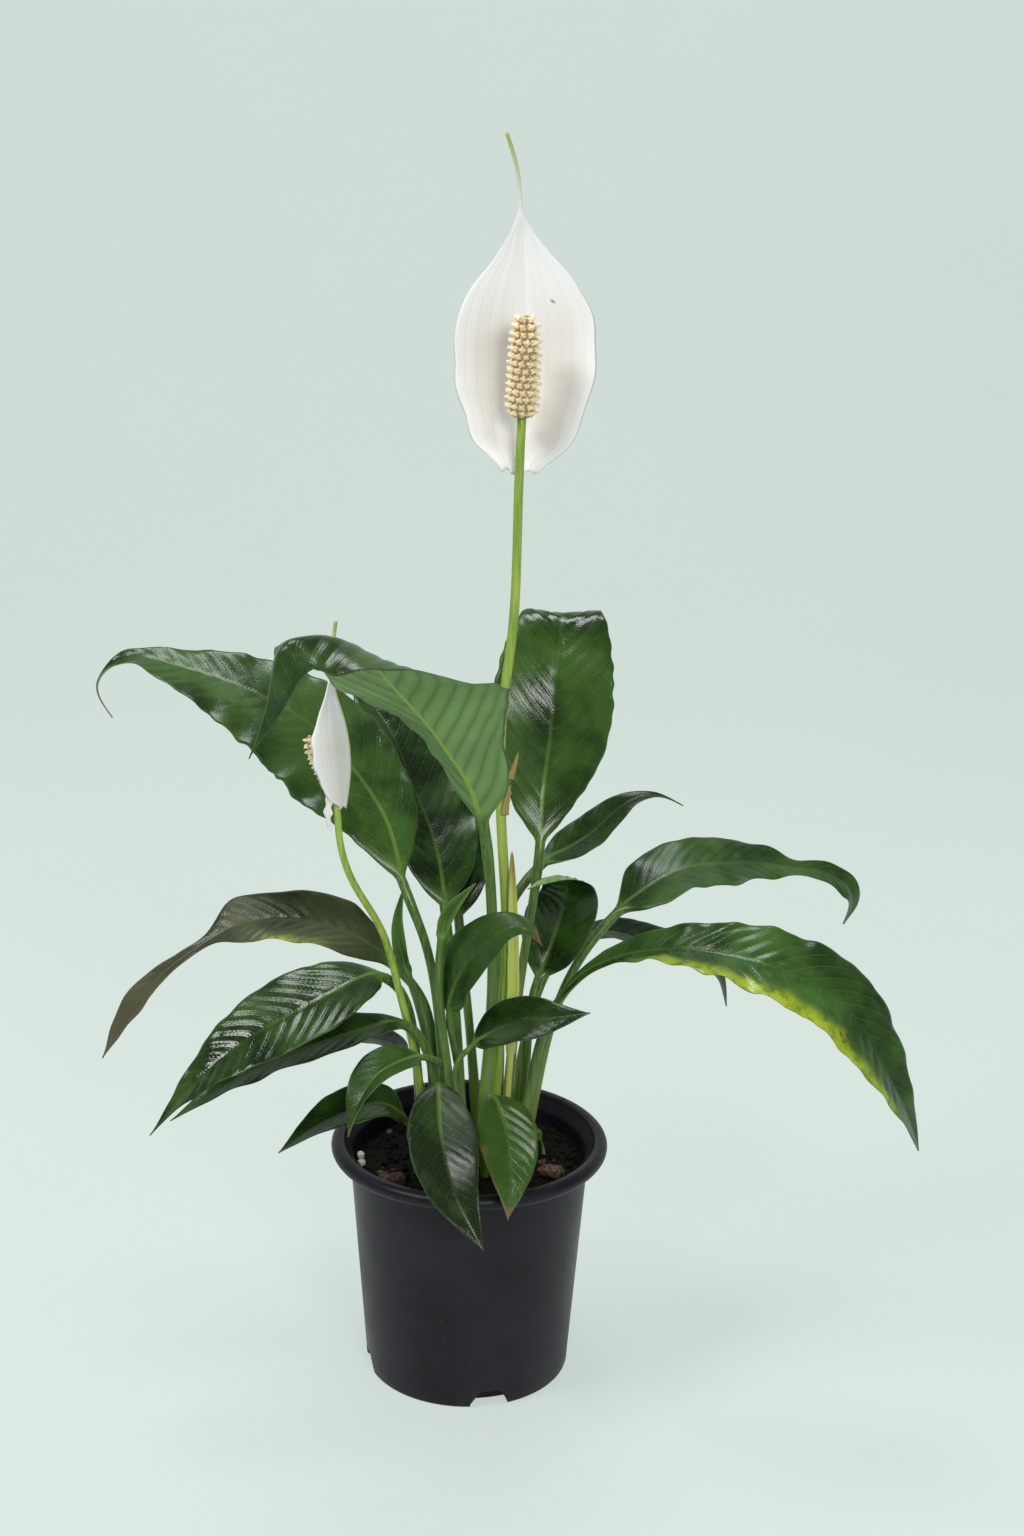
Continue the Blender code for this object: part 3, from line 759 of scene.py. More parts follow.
@dataclass(frozen=True)
class StemFinish(Finish):
    """Smooth lime-green flower stem with fine lengthwise lines."""

    deep: Colour = (0.2, 0.33, 0.035)
    light: Colour = (0.42, 0.55, 0.09)

    def material(self) -> bpy.types.Material:
        """Make the material.

        Returns:
            The material.
        """
        nodes = Coat(self.name)
        spot = nodes.spot
        fibres = nodes.effect("fibres", Vector=spot, Fineness=800.0, Stretch=0.05)
        mottle = nodes.effect("mottle", Vector=spot, Scale=30.0, Contrast=0.2)
        share = nodes.plus(nodes.times(fibres["Mask"], 0.5), nodes.times(mottle["Mask"], 0.5))
        colour = nodes.mix(share, self.deep, self.light)
        roughness = nodes.remap(mottle["Mask"], 0.0, 1.0, 0.34, 0.5)
        return nodes.done(colour, roughness, nodes.bump(fibres["Height"], 0.0002, 0.5))


@dataclass(frozen=True)
class SheathFinish(Finish):
    """Dry papery sheath: yellow-green, browning towards its torn end."""

    fresh: Colour = (0.47, 0.56, 0.1)
    dry: Colour = (0.3, 0.17, 0.06)
    pale: Colour = (0.62, 0.6, 0.26)

    def material(self) -> bpy.types.Material:
        """Make the material.

        Returns:
            The material.
        """
        nodes = Coat(self.name)
        spot = nodes.spot
        fibres = nodes.effect("fibres", Vector=spot, Fineness=1100.0, Stretch=0.04)
        colour = nodes.mix(nodes.times(fibres["Mask"], 0.5), self.fresh, self.pale)
        patches = nodes.effect("mottle", Vector=spot, Scale=90.0, Contrast=0.12)
        share = nodes.times(nodes.trait("aged"), patches["Mask"], clamp=True)
        share = nodes.larger(share, nodes.trait("scorch"), clamp=True)
        colour = nodes.mix(share, colour, self.dry)
        roughness = nodes.remap(patches["Mask"], 0.0, 1.0, 0.55, 0.75)
        return nodes.done(colour, roughness, nodes.bump(fibres["Height"], 0.0003, 0.7))


@dataclass(frozen=True)
class SpatheFinish(Finish):
    """Soft white hood with faint long veins, green at its tail and back, and painted shade in the lower hollow
    either side of the spike.
    """

    white: Colour = (0.9, 0.895, 0.885)
    shade: Colour = (0.5, 0.43, 0.33)
    green: Colour = (0.4, 0.47, 0.12)
    speck: Colour = (0.25, 0.15, 0.07)

    def material(self) -> bpy.types.Material:
        """Make the material.

        Returns:
            The material.
        """
        nodes = Coat(self.name)
        spot = nodes.spot
        phase = nodes.trait("phase")
        near = nodes.math("PINGPONG", phase, 0.5)
        vein = nodes.minus(1.0, nodes.remap(near, 0.0, 0.16))
        mottle = nodes.effect("mottle", Vector=spot, Scale=26.0, Contrast=0.3)
        # Painted shade: in the lower hollow of the hood, either side of the spike, the white is mixed in soft
        # patches towards the warm shade colour.
        cloud = nodes.times(nodes.remap(mottle["Mask"], 0.0, 1.0, 0.35, 1.0), nodes.trait("hollow"))
        colour = nodes.mix(nodes.times(cloud, 0.55), self.white, self.shade)
        colour = nodes.mix(nodes.times(vein, 0.07), colour, self.shade)
        rib = nodes.minus(1.0, nodes.remap(nodes.trait("rib"), 0.3, 2.4))
        back = nodes.times(nodes.trait("under"), rib)
        green = nodes.larger(nodes.trait("tail"), nodes.times(back, 0.7), clamp=True)
        colour = nodes.mix(green, colour, self.green)
        colour = nodes.mix(nodes.trait("scorch"), colour, self.speck)
        roughness = nodes.remap(mottle["Mask"], 0.0, 1.0, 0.42, 0.56)
        grain = nodes.noise(spot, 900.0, 3.0)
        height = nodes.minus(nodes.times(grain, 0.4), nodes.times(vein, 0.3))
        return nodes.done(colour, roughness, nodes.bump(height, 0.0003, 0.6))


@dataclass(frozen=True)
class SpadixFinish(Finish):
    """Cream flower spike with painted shade in the hollows between its bumps, and darker tips."""

    cream: Colour = (0.9, 0.8, 0.55)
    hollow: Colour = (0.46, 0.29, 0.11)
    tip: Colour = (0.62, 0.42, 0.17)

    def material(self) -> bpy.types.Material:
        """Make the material.

        Returns:
            The material.
        """
        nodes = Coat(self.name)
        spot = nodes.spot
        mottle = nodes.effect("mottle", Vector=spot, Scale=120.0, Contrast=0.2)
        # Painted shade: where rise is low, at each floret's foot, the cream turns to the darker hollow colour,
        # which stands for the shade in the gaps between the florets.
        colour = nodes.mix(nodes.remap(nodes.trait("rise"), 0.05, 0.6), self.hollow, self.cream)
        colour = nodes.mix(nodes.times(nodes.trait("tip"), 0.3), colour, self.tip)
        colour = nodes.mix(nodes.times(mottle["Mask"], 0.15), colour, self.tip)
        roughness = nodes.remap(mottle["Mask"], 0.0, 1.0, 0.5, 0.68)
        grain = nodes.noise(spot, 2400.0, 3.0)
        return nodes.done(colour, roughness, nodes.bump(grain, 0.0002, 0.6))


@dataclass(frozen=True)
class PotFinish(Finish):
    """Satin charcoal plastic with a moulded grain, dust near the foot, and pale scuffs."""

    black: Colour = (0.0075, 0.005, 0.0095)
    worn: Colour = (0.0165, 0.0125, 0.0215)
    dusty: Colour = (0.1, 0.095, 0.088)
    scuff_at: Point = (-0.012, -0.056, 0.05)
    scuff_reach: float = 0.004

    def material(self) -> bpy.types.Material:
        """Make the material.

        Returns:
            The material.
        """
        nodes = Coat(self.name)
        spot = nodes.spot
        mottle = nodes.effect("mottle", Vector=spot, Scale=22.0, Contrast=0.22)
        dust = nodes.effect("dust", Vector=spot, Amount=0.35, Scale=34.0)
        colour = nodes.mix(mottle["Mask"], self.black, self.worn)
        height = nodes.add("SeparateXYZ", {0: spot}).outputs["Z"]
        low = nodes.remap(height, 0.03, 0.0, 0.15, 1.0)
        rim = nodes.remap(height, 0.117, 0.125, 0.0, 0.55)
        where = nodes.larger(low, rim)
        settled = nodes.times(nodes.times(dust["Mask"], where), 0.8)
        colour = nodes.mix(settled, colour, self.dusty)
        colour = nodes.mix(nodes.times(dust["Scuff"], 0.10), colour, self.dusty)
        away = nodes.add("VectorMath", {0: spot, 1: self.scuff_at}, operation="DISTANCE").outputs["Value"]
        ragged = nodes.times(nodes.noise(spot, 700.0), 0.004)
        mark = nodes.remap(nodes.plus(away, ragged), self.scuff_reach, self.scuff_reach * 0.6)
        colour = nodes.mix(nodes.times(mark, 0.9), colour, self.dusty)
        shine = nodes.remap(mottle["Mask"], 0.0, 1.0, 0.36, 0.46)
        roughness = nodes.plus(shine, nodes.times(settled, 0.35), clamp=True)
        grain = nodes.noise(spot, 1500.0, 2.0)
        first = nodes.bump(grain, 0.00012, 0.5)
        wave = nodes.noise(spot, 26.0, 1.0)
        return nodes.done(colour, roughness, nodes.bump(wave, 0.0011, 0.35, first), 0.22)


@dataclass(frozen=True)
class SoilFinish(Finish):
    """Near-black damp peat with brown fibres and pale specks."""

    black: Colour = (0.002, 0.0016, 0.0013)
    brown: Colour = (0.013, 0.008, 0.0048)
    pale: Colour = (0.14, 0.1, 0.065)

    def material(self) -> bpy.types.Material:
        """Make the material.

        Returns:
            The material.
        """
        nodes = Coat(self.name)
        spot = nodes.spot
        mottle = nodes.effect("mottle", Vector=spot, Scale=170.0, Contrast=0.12)
        colour = nodes.mix(nodes.times(mottle["Mask"], 0.8), self.black, self.brown)
        colour = nodes.mix(nodes.times(mottle["Specks"], 0.4), colour, self.pale)
        roughness = nodes.remap(mottle["Mask"], 0.0, 1.0, 0.68, 0.95)
        grain = nodes.noise(spot, 900.0, 6.0, 0.7)
        return nodes.done(colour, roughness, nodes.bump(grain, 0.0012, 0.8), 0.2)


@dataclass(frozen=True)
class BarkFinish(Finish):
    """Broken bark in dark and tan layers."""

    dark: Colour = (0.045, 0.026, 0.016)
    tan: Colour = (0.2, 0.125, 0.075)

    def material(self) -> bpy.types.Material:
        """Make the material.

        Returns:
            The material.
        """
        nodes = Coat(self.name)
        spot = nodes.spot
        fibres = nodes.effect("fibres", Vector=spot, Fineness=500.0, Stretch=3.0)
        dust = nodes.effect("dust", Vector=spot, Amount=0.7, Scale=150.0)
        colour = nodes.mix(fibres["Mask"], self.dark, self.tan)
        colour = nodes.mix(dust["Mask"], colour, self.dark)
        roughness = nodes.remap(fibres["Mask"], 0.0, 1.0, 0.75, 0.92)
        return nodes.done(colour, roughness, nodes.bump(fibres["Height"], 0.0008, 0.8))


@dataclass(frozen=True)
class PerliteFinish(Finish):
    """White chalky grain with dirt in its pores."""

    white: Colour = (0.78, 0.78, 0.75)
    dirt: Colour = (0.3, 0.26, 0.2)

    def material(self) -> bpy.types.Material:
        """Make the material.

        Returns:
            The material.
        """
        nodes = Coat(self.name)
        spot = nodes.spot
        dust = nodes.effect("dust", Vector=spot, Amount=0.8, Scale=420.0)
        colour = nodes.mix(dust["Mask"], self.white, self.dirt)
        pores = nodes.noise(spot, 1600.0, 4.0)
        roughness = nodes.remap(pores, 0.3, 0.7, 0.8, 0.95)
        return nodes.done(colour, roughness, nodes.bump(pores, 0.0006, 0.9))


# ---------------------------------------------------------------- leaves


@dataclass(frozen=True)
class LeafLook:
    """What makes one leaf's surface its own.

    aged is the side (1 right, -1 left), where the patch starts across the blade, where it starts and
    ends along it, and its strength. scorch is where the browned tip starts and its strength.
    """

    slot: Slot = Slot.LEAF
    tone: float = 0.0
    wave: float = 1.4
    wave_length: float = 34.0
    vein_gap: float = 9.0
    quilt: float = 0.6
    shine: float = 0.0
    frill: float = 0.03
    aged: tuple[float, float, float, float, float] | None = None
    scorch: tuple[float, float] | None = None


@dataclass
class LeafShape:
    """One leaf, from the soil to its tip: the points of its midrib and how its blade opens.

    stalk and blade are points on the midrib. faces are the directions in which the upper side looks,
    spaced evenly from the blade's base to its tip, and folds are the degrees by which each half rises
    from flat. widths, where given, are shares of half_width in place of the drawn outline.
    """

    name: str
    half_width: float
    stalk: list[Point]
    blade: list[Point]
    faces: list[Point]
    folds: Sequence[float] = (14, 14)
    shoulder: float = 0.75
    taper: float = 1.2
    widths: Sequence[float] = ()
    stalk_radius: float = 2.3
    lean: float = 0.0
    look: LeafLook = field(default_factory=LeafLook)
    columns: int = 31
    stalk_rings: int = 26
    ring_gap: float = 1.7
    half_thickness: float = 0.32
    rib_depth: float = 0.9
    flare: float = 1.35

    def outline(self, u: float) -> float:
        """Give the half width of the blade.

        Args:
            u: The share of the way from the blade's base to its tip.

        Returns:
            The half width, in mm.
        """
        if self.widths:
            share = max(0.0, float(spread(self.widths, u)))
        else:
            widest = self.shoulder / (self.shoulder + self.taper)
            share = (u / widest) ** self.shoulder * ((1 - u) / (1 - widest)) ** self.taper
        return math.hypot(self.half_width * share, self.stalk_radius * (1 - u) + 0.2)

    def cuts(self, line: Midline, base: float) -> list[Cut]:
        """Find where the rings cross the midrib.

        Args:
            line: The midrib.
            base: How far along it the blade starts.

        Returns:
            The cuts, from the soil to the tip.
        """
        length = float(line.knots[-1]) - base
        stalk_at = np.linspace(0.0, base, self.stalk_rings, endpoint=False)
        blade_at = base + length * np.linspace(0, 1, max(30, int(length / self.ring_gap))) ** 0.96
        marks = np.concatenate([stalk_at, blade_at])
        places, tangents = (np.array(part) for part in zip(*(line.at(t) for t in marks)))
        tangents[0] = (0, 0, 1)
        normals = np.zeros_like(places)
        for i in range(self.stalk_rings, len(marks)):
            normals[i] = square_to(spread(self.faces, (marks[i] - base) / length), tangents[i])
        for i in reversed(range(self.stalk_rings)):
            normals[i] = square_to(normals[i + 1], tangents[i])
        return [Cut(*each) for each in zip(marks, places, tangents, normals)]

    def stalk_ring(self, cut: Cut, section: Section, share: float) -> Ring:
        """Make one round ring of the stalk.

        Args:
            cut: Where the ring crosses the midrib.
            section: The points round it.
            share: The share of the way from the soil to the blade.

        Returns:
            The ring and its traits.
        """
        swell = 0.12 * math.exp(-(((share - 0.93) / 0.06) ** 2))
        radius = self.stalk_radius * (self.flare + (1 - self.flare) * min(1.0, share * 2) + swell)
        v = np.cos(section.around)
        traits = {"phase": 0.0, "rib": 9.0, "edge": np.abs(v), "under": section.under(), "blade": 0.0}
        traits |= {"along": share - 1, "aged": 0.0, "scorch": 0.0}
        return cut.ring(radius * v, radius * np.sin(section.around)), traits

    def relief(self, cut: Cut, u: float, v: np.ndarray, x: np.ndarray, phase: np.ndarray) -> np.ndarray:
        """Give the height of the swells between the veins and of the waves.

        Args:
            cut: Where the ring crosses the midrib.
            u: The share of the way from the blade's base to its tip.
            v: The places across, from 1 to -1.
            x: The same in mm.
            phase: A whole number on each vein.

        Returns:
            The heights, in mm.
        """
        look, mark, wide, margin = self.look, cut.mark, self.outline(u), np.abs(v)
        apart = np.abs(phase - np.round(phase)) * 2
        strong = smoothstep(0.0, 0.22, u) * smoothstep(1.0, 0.8, u) * smoothstep(1.0, 0.78, margin)
        strong = strong * smoothstep(0.6, 3.5, np.abs(x)) * min(1.0, wide / 12.0)
        patchy = 0.65 + 0.5 * ripple(self.seed() + 5, mark / 40.0 + 0.5 * v)
        swells = look.quilt * (np.sin(apart * math.pi / 2) ** 0.75 - 0.6) * strong * patchy * 1.4
        ends = smoothstep(0.0, 0.15, u) * smoothstep(1.0, 0.82, u) * min(1.0, wide / 10.0)
        shift = np.where(v > 0, 0.37, 0.0)
        waves = look.wave * ends * margin**2.6 * ripple(self.seed(), mark / look.wave_length + shift)
        return swells + waves + 0.8 * ends * ripple(self.seed() + 7, mark / 70.0 + 0.35 * v, 3) * margin

    def depth(self, section: Section, u: float, v: np.ndarray, x: np.ndarray) -> np.ndarray:
        """Give how far each point stands off the blade's middle surface, in mm.

        Args:
            section: The points round the blade.
            u: The share of the way from the blade's base to its tip.
            v: The places across, from 1 to -1.
            x: The same in mm.

        Returns:
            The distances: upwards on the upper side, downwards on the underside.
        """
        fade = max(0.0, 1 - u * 6)
        thin = self.half_thickness * np.sqrt(np.clip(1 - np.abs(v) ** 8, 0, 1))
        keel = self.rib_depth * (1 - u) * np.exp(-((x / (0.9 + 1.1 * (1 - u))) ** 2))
        groove = 0.45 * (1 - u) * np.exp(-((x / 1.1) ** 2))
        blade = np.where(section.upper, thin - groove * (1 - fade), thin + keel)
        tube = self.stalk_radius * np.sqrt(np.clip(1 - v**2, 0, 1))
        return section.facing() * (fade * tube + (1 - fade) * blade)

    def blade_ring(self, cut: Cut, section: Section, travel: float, u: float) -> Ring:
        """Make one ring of the blade.

        Args:
            cut: Where the ring crosses the midrib.
            section: The points round it.
            travel: How far it is from the blade's base, in mm.
            u: The same as a share of the blade's length.

        Returns:
            The ring and its traits.
        """
        look, wide, side = self.look, self.outline(u), cut.side()
        v = section.across(float(smoothstep(0.0, 0.12, u)) * 0.8)
        uneven = ripple(self.seed() + 3, cut.mark / 17.0 + np.where(v > 0, 0.43, 0.0))
        x = wide * v * (1 + self.lean * v) * (1 + look.frill * uneven * np.abs(v))
        reach = np.abs(x)
        angle = math.radians(float(spread(self.folds, u))) * min(1.0, u * 6)
        soften = 0.08 * wide + 0.3
        rise = (np.sqrt(x**2 + soften**2) - soften) * math.sin(angle)
        tilt = angle * x / np.sqrt(x**2 + soften**2)
        up = np.outer(np.cos(tilt), cut.normal) - np.outer(np.sin(tilt), side)
        drift = travel - reach * 0.85 - 0.4 * reach**2 / max(wide, 1.0)
        phase = drift / look.vein_gap + 0.25 * np.tanh(x / 1.5) + 40.0
        off = self.relief(cut, u, v, x, phase) * (1 - max(0.0, 1 - u * 6)) + self.depth(section, u, v, x)
        ring = cut.ring(x * math.cos(angle), rise) + up * off[:, None]
        traits = {"phase": phase, "rib": reach / (0.55 + 0.75 * (1 - u)), "edge": np.abs(v)}
        traits |= {"under": section.under(), "blade": smoothstep(0.0, 0.07, u), "along": u}
        return ring, traits | self.ageing(cut.mark, u, v)

    def ageing(self, mark: float, u: float, v: np.ndarray) -> dict[str, Any]:
        """Say where the blade has turned yellow or brown.

        Args:
            mark: How far along the midrib the ring is.
            u: The share of the way from the blade's base to its tip.
            v: The places across, from 1 to -1.

        Returns:
            The strength of each kind, at each point.
        """
        found: dict[str, Any] = {"aged": 0.0, "scorch": 0.0}
        if self.look.aged:
            hand, start, begins, ends_at, strength = self.look.aged
            window = smoothstep(begins, begins + 0.12, u) * smoothstep(ends_at + 0.1, ends_at, u)
            place_across = v * hand + 0.12 * ripple(self.seed() + 9, np.array(mark / 30.0))
            found["aged"] = strength * window * smoothstep(start, start + 0.45, place_across)
        if self.look.scorch:
            start, strength = self.look.scorch
            found["scorch"] = strength * smoothstep(start, 1.0, u + 0.05 * np.abs(v))
        return found

    def seed(self) -> int:
        """Give the number that this leaf's waves are drawn from."""
        return sum(ord(letter) for letter in self.name)

    def build(self, material: bpy.types.Material) -> bpy.types.Object:
        """Build the leaf as one closed piece.

        Args:
            material: Its finish.

        Returns:
            The piece.
        """
        line = Midline(rooted(self.stalk + self.blade))
        base = float(line.knots[len(self.stalk)])
        length = float(line.knots[-1]) - base
        section = Section.of(self.columns)
        skin = Skin()
        for i, cut in enumerate(self.cuts(line, base)):
            if i < self.stalk_rings:
                ring, traits = self.stalk_ring(cut, section, i / self.stalk_rings)
            else:
                travel = cut.mark - base
                ring, traits = self.blade_ring(cut, section, travel, travel / length)
            skin.add(ring, traits | {"tone": self.look.tone, "shine": self.look.shine})
        skin.bury()
        return skin.piece(self.name.replace("leaf_", "") + "_leaf", material)


LEAVES = [
    LeafShape("leaf_left_long", 32, [(-9, 6, 0), (-15, 8, 60), (-25, 14, 118)],
         [(-36, 22, 145), (-44, 36, 169), (-59, 50, 189), (-75, 60, 205), (-106, 68, 224),
          (-133, 72, 234), (-157, 74, 240), (-181, 72, 242), (-193, 66, 231), (-185, 60, 215)],
         [(0.3, -0.7, 0.6), (0.2, -0.7, 0.7), (0.1, -0.6, 0.8), (-0.2, -0.4, 0.9), (-0.9, 0, 0.1)],
         folds=[12, 8, 8, 20], shoulder=0.9, taper=1.6, lean=-0.2,
         look=LeafLook(tone=0.2, wave=2.0, vein_gap=10.0, quilt=0.7, shine=0.4, scorch=(0.96, 0.8))),
    LeafShape("leaf_folded_over", 34, [(4, -4, 0), (9, -4, 60), (10, -5, 130)],
         [(5, -14, 185), (-1, -28, 209), (-10, -43, 228), (-19, -58, 246), (-29, -72, 262),
          (-38, -84, 276), (-47, -94, 289), (-58, -104, 298), (-70, -112, 300), (-77, -118, 299),
          (-85, -120, 276), (-94, -120, 248)],
         [(0.35, 0.9, 0), (0.35, 0.9, 0), (0.4, 0.85, 0.2), (0, 0.15, 1), (-0.4, -0.5, 0.8),
          (-0.8, -0.5, 0.3)],
         folds=[25, 35, 14, -12, -38, -38], stalk_radius=2.6, lean=-0.12,
         widths=[0, 0.44, 0.68, 0.92, 1.2, 1.15, 0.85, 0.66, 0.43, 0.18, 0],
         look=LeafLook(tone=0.1, wave=1.6, vein_gap=12.5, quilt=0.7)),
    LeafShape("leaf_upright", 30, [(18, 12, 0), (21, 13, 60), (27, 14, 115)],
         [(33, 20, 166), (34, 29, 190), (37, 34, 217), (39, 41, 244), (41, 50, 262),
          (42, 60, 272), (43, 80, 265), (46, 100, 250)],
         [(0.05, -0.95, 0.3), (0.05, -0.95, 0.3), (0, -0.8, 0.6), (0, 0.2, 1), (0, 0.7, 0.7)],
         folds=[18, 10, 4, 0], shoulder=0.9,
         look=LeafLook(tone=0.15, wave=1.2, vein_gap=9.5, quilt=0.85, shine=0.8)),
    LeafShape("leaf_dark_back", 26, [(-4, 14, 0), (-7, 18, 60), (-12, 28, 108)],
         [(-15, 36, 126), (-17, 44, 139), (-23, 62, 157), (-34, 80, 177), (-45, 96, 198),
          (-58, 110, 213), (-71, 120, 230)],
         [(0.3, -0.8, 0.5), (0.3, -0.8, 0.5), (0.2, -0.6, 0.8), (0, -0.3, 1)],
         look=LeafLook(tone=-0.35, wave=2.2, vein_gap=9.0, quilt=0.5, shine=0.6)),
    LeafShape("leaf_dark_behind", 18, [(4, 20, 0), (-1, 28, 60), (-6, 42, 99)],
         [(-8, 50, 115), (-10, 60, 131), (-13, 72, 146), (-19, 86, 166), (-26, 94, 180)],
         [(0.2, -0.8, 0.5), (0.2, -0.7, 0.7), (0.1, -0.5, 0.9)],
         look=LeafLook(tone=-0.35, wave=2.0, vein_gap=8.0, shine=0.6)),
    LeafShape("leaf_left_brown", 21, [(-16, 12, 0), (-19, 14, 50), (-26, 16, 84)],
         [(-41, 18, 101), (-51, 19, 109), (-64, 20, 116), (-82, 22, 121), (-100, 22, 122),
          (-115, 20, 120), (-129, 17, 114), (-142, 14, 106), (-157, 10, 94), (-171, 7, 77),
          (-186, 4, 52)],
         [(-0.1, -0.4, 0.9), (-0.1, -0.3, 0.9), (-0.4, -0.7, 0.6), (-0.6, -0.6, 0.5)],
         folds=[14, 8, 12, 25, 20],
         widths=[0.1, 0.6, 0.95, 1, 0.85, 0.75, 0.2, 0.16, 0.28, 0.36, 0.24, 0],
         look=LeafLook(Slot.LEAF_BROWN, wave=2.4, vein_gap=8.0, quilt=1.2, aged=(-1.0, 0.6, 0.14, 0.34,
                       0.9), scorch=(0.45, 0.55))),
    LeafShape("leaf_left_glossy", 22, [(-24, 4, 0), (-28, 3, 62), (-36, 0, 94)],
         [(-45, -8, 104), (-68, -28, 103), (-89, -40, 95), (-110, -50, 84), (-128, -58, 70),
          (-141, -62, 56), (-151, -66, 44)],
         [(-0.2, -0.5, 0.8), (-0.3, -0.6, 0.8), (-0.6, -0.5, 0.6)],
         folds=[10, 5, 15], shoulder=0.7, taper=1.4,
         look=LeafLook(tone=-0.15, wave=1.6, vein_gap=8.5, quilt=1.1, shine=1.0)),
    LeafShape("leaf_left_under", 14, [(-16, -7, 0), (-19, -11, 58)],
         [(-33, -14, 81), (-49, -20, 82), (-66, -27, 79), (-84, -34, 75), (-106, -42, 67),
          (-124, -49, 58), (-143, -54, 46)],
         [(-0.1, -0.3, 0.9), (-0.3, -0.4, 0.9), (-0.6, -0.4, 0.7)],
         look=LeafLook(tone=0.0, wave=1.2, vein_gap=8.0, shine=0.4)),
    LeafShape("leaf_rim_left", 14, [(-26, -14, 0), (-28, -19, 26)],
         [(-32, -24, 35), (-41, -29, 45), (-58, -36, 45), (-75, -42, 38), (-92, -48, 27)],
         [(-0.1, -0.4, 0.9), (-0.3, -0.3, 0.9)], stalk_radius=1.6,
         look=LeafLook(tone=-0.25, wave=0.8, vein_gap=6.5, shine=0.6, scorch=(0.96, 0.8))),
    LeafShape("leaf_small_folded", 12, [(-9, -12, 0), (-10, -14, 45), (-13, -20, 62)],
         [(-24, -28, 70), (-35, -37, 71), (-44, -46, 68), (-51, -55, 60), (-57, -62, 43)],
         [(0.1, -0.4, 0.9), (-0.4, -0.5, 0.8), (-0.8, -0.5, 0.4)], folds=[25, 25, 35],
         stalk_radius=1.5,
         look=LeafLook(tone=0.3, wave=0.5, vein_gap=5.5, quilt=0.4, scorch=(0.95, 0.7))),
    LeafShape("leaf_front_drooping", 17, [(-13, -22, 0), (-15, -25, 35)],
         [(-15, -32, 57), (-14, -48, 49), (-11, -66, 38), (-5, -82, 24), (3, -90, 11), (9, -94, 1)],
         [(0, -0.3, 1), (0, -0.6, 0.8), (0, -0.8, 0.5)], stalk_radius=1.7,
         look=LeafLook(tone=-0.5, wave=0.6, vein_gap=6.5, quilt=0.4, shine=0.1)),
    LeafShape("leaf_front_right", 15, [(8, -14, 0), (9, -20, 38)],
         [(12, -30, 50), (17, -44, 45), (20, -58, 36), (21, -74, 24), (20, -84, 12)],
         [(0, -0.3, 1), (0.1, -0.6, 0.8), (0, -0.8, 0.5)], stalk_radius=1.7,
         look=LeafLook(tone=0.6, wave=0.8, vein_gap=6.0, quilt=0.6, shine=0.6, aged=(1.0, 0.7, 0.4, 0.95,
                       0.9), scorch=(0.9, 1.0))),
    LeafShape("leaf_small_right", 14, [(0, -22, 0), (-4, -28, 45), (-6, -30, 68)],
         [(2, -30, 78), (19, -33, 90), (38, -36, 95), (58, -38, 99)],
         [(-0.1, -0.5, 0.8), (0, -0.5, 0.9)], folds=[18, 5], stalk_radius=1.2,
         look=LeafLook(tone=-0.3, wave=0.8, vein_gap=6.0, quilt=0.7, shine=1.0)),
    LeafShape("leaf_centre", 16, [(1, -11, 0), (-4, -16, 45), (-7, -19, 67)],
         [(-10, -25, 93), (-5, -31, 115), (5, -37, 131), (18, -42, 143), (27, -45, 144),
          (34, -48, 137)],
         [(-0.5, -0.7, 0.5), (-0.5, -0.6, 0.6), (0.2, -0.5, 0.8)], stalk_radius=1.7,
         look=LeafLook(tone=0.1, wave=0.9, vein_gap=6.0, quilt=0.5, scorch=(0.9, 0.85))),
    LeafShape("leaf_young_spear", 5, [(-6, -17, 0), (-10, -22, 56), (-15, -28, 118)],
         [(-14, -29, 132), (-12, -30, 143), (-6, -31, 153), (2, -32, 162)],
         [(0, -0.9, 0.2), (0, -0.9, 0.2)], folds=[50, 50], stalk_radius=2.0,
         look=LeafLook(Slot.LEAF_PALE, tone=0.0, wave=0.3, vein_gap=5.0, quilt=0.15)),
    LeafShape("leaf_cupped_right", 18, [(25, 2, 0), (28, 8, 50), (31, 18, 83)],
         [(34, 24, 92), (40, 29, 109), (45, 29, 126), (47, 22, 142), (41, 9, 152), (27, -3, 149)],
         [(-0.2, -0.95, 0.2), (-0.2, -0.95, 0.2), (0.1, -0.5, -0.9), (0.3, 0.5, -0.8)], taper=1.3,
         look=LeafLook(tone=-0.1, wave=0.9, vein_gap=6.5, quilt=0.7, shine=0.6)),
    LeafShape("leaf_back_right", 11, [(13, 22, 0), (14, 30, 70), (19, 40, 125)],
         [(36, 50, 145), (50, 60, 151), (63, 68, 158), (72, 72, 166), (83, 76, 172), (95, 78, 173),
          (108, 80, 167)],
         [(-0.3, -0.6, 0.7), (-0.1, -0.6, 0.8), (0, -0.2, 1)], taper=1.8,
         look=LeafLook(tone=0.0, wave=1.6, vein_gap=6.0)),
    LeafShape("leaf_right_upper", 19, [(28, 12, 0), (36, 14, 50), (48, 22, 90)],
         [(73, 36, 123), (85, 40, 133), (105, 48, 143), (126, 54, 145), (147, 58, 144),
          (168, 61, 140), (187, 63, 135), (196, 62, 126), (192, 58, 111)],
         [(-0.3, -0.5, 0.8), (-0.1, -0.4, 0.9), (0.1, -0.4, 0.9), (0.9, -0.4, 0.1)],
         folds=[14, 5, 5, 10],
         widths=[0.05, 0.75, 1, 1.02, 0.97, 0.82, 0.56, 0.32, 0.42, 0.46, 0.04],
         look=LeafLook(tone=0.2, wave=1.8, vein_gap=8.0, quilt=0.5, frill=0.05)),
    LeafShape("leaf_right_large", 23, [(24, -8, 0), (31, -6, 50)],
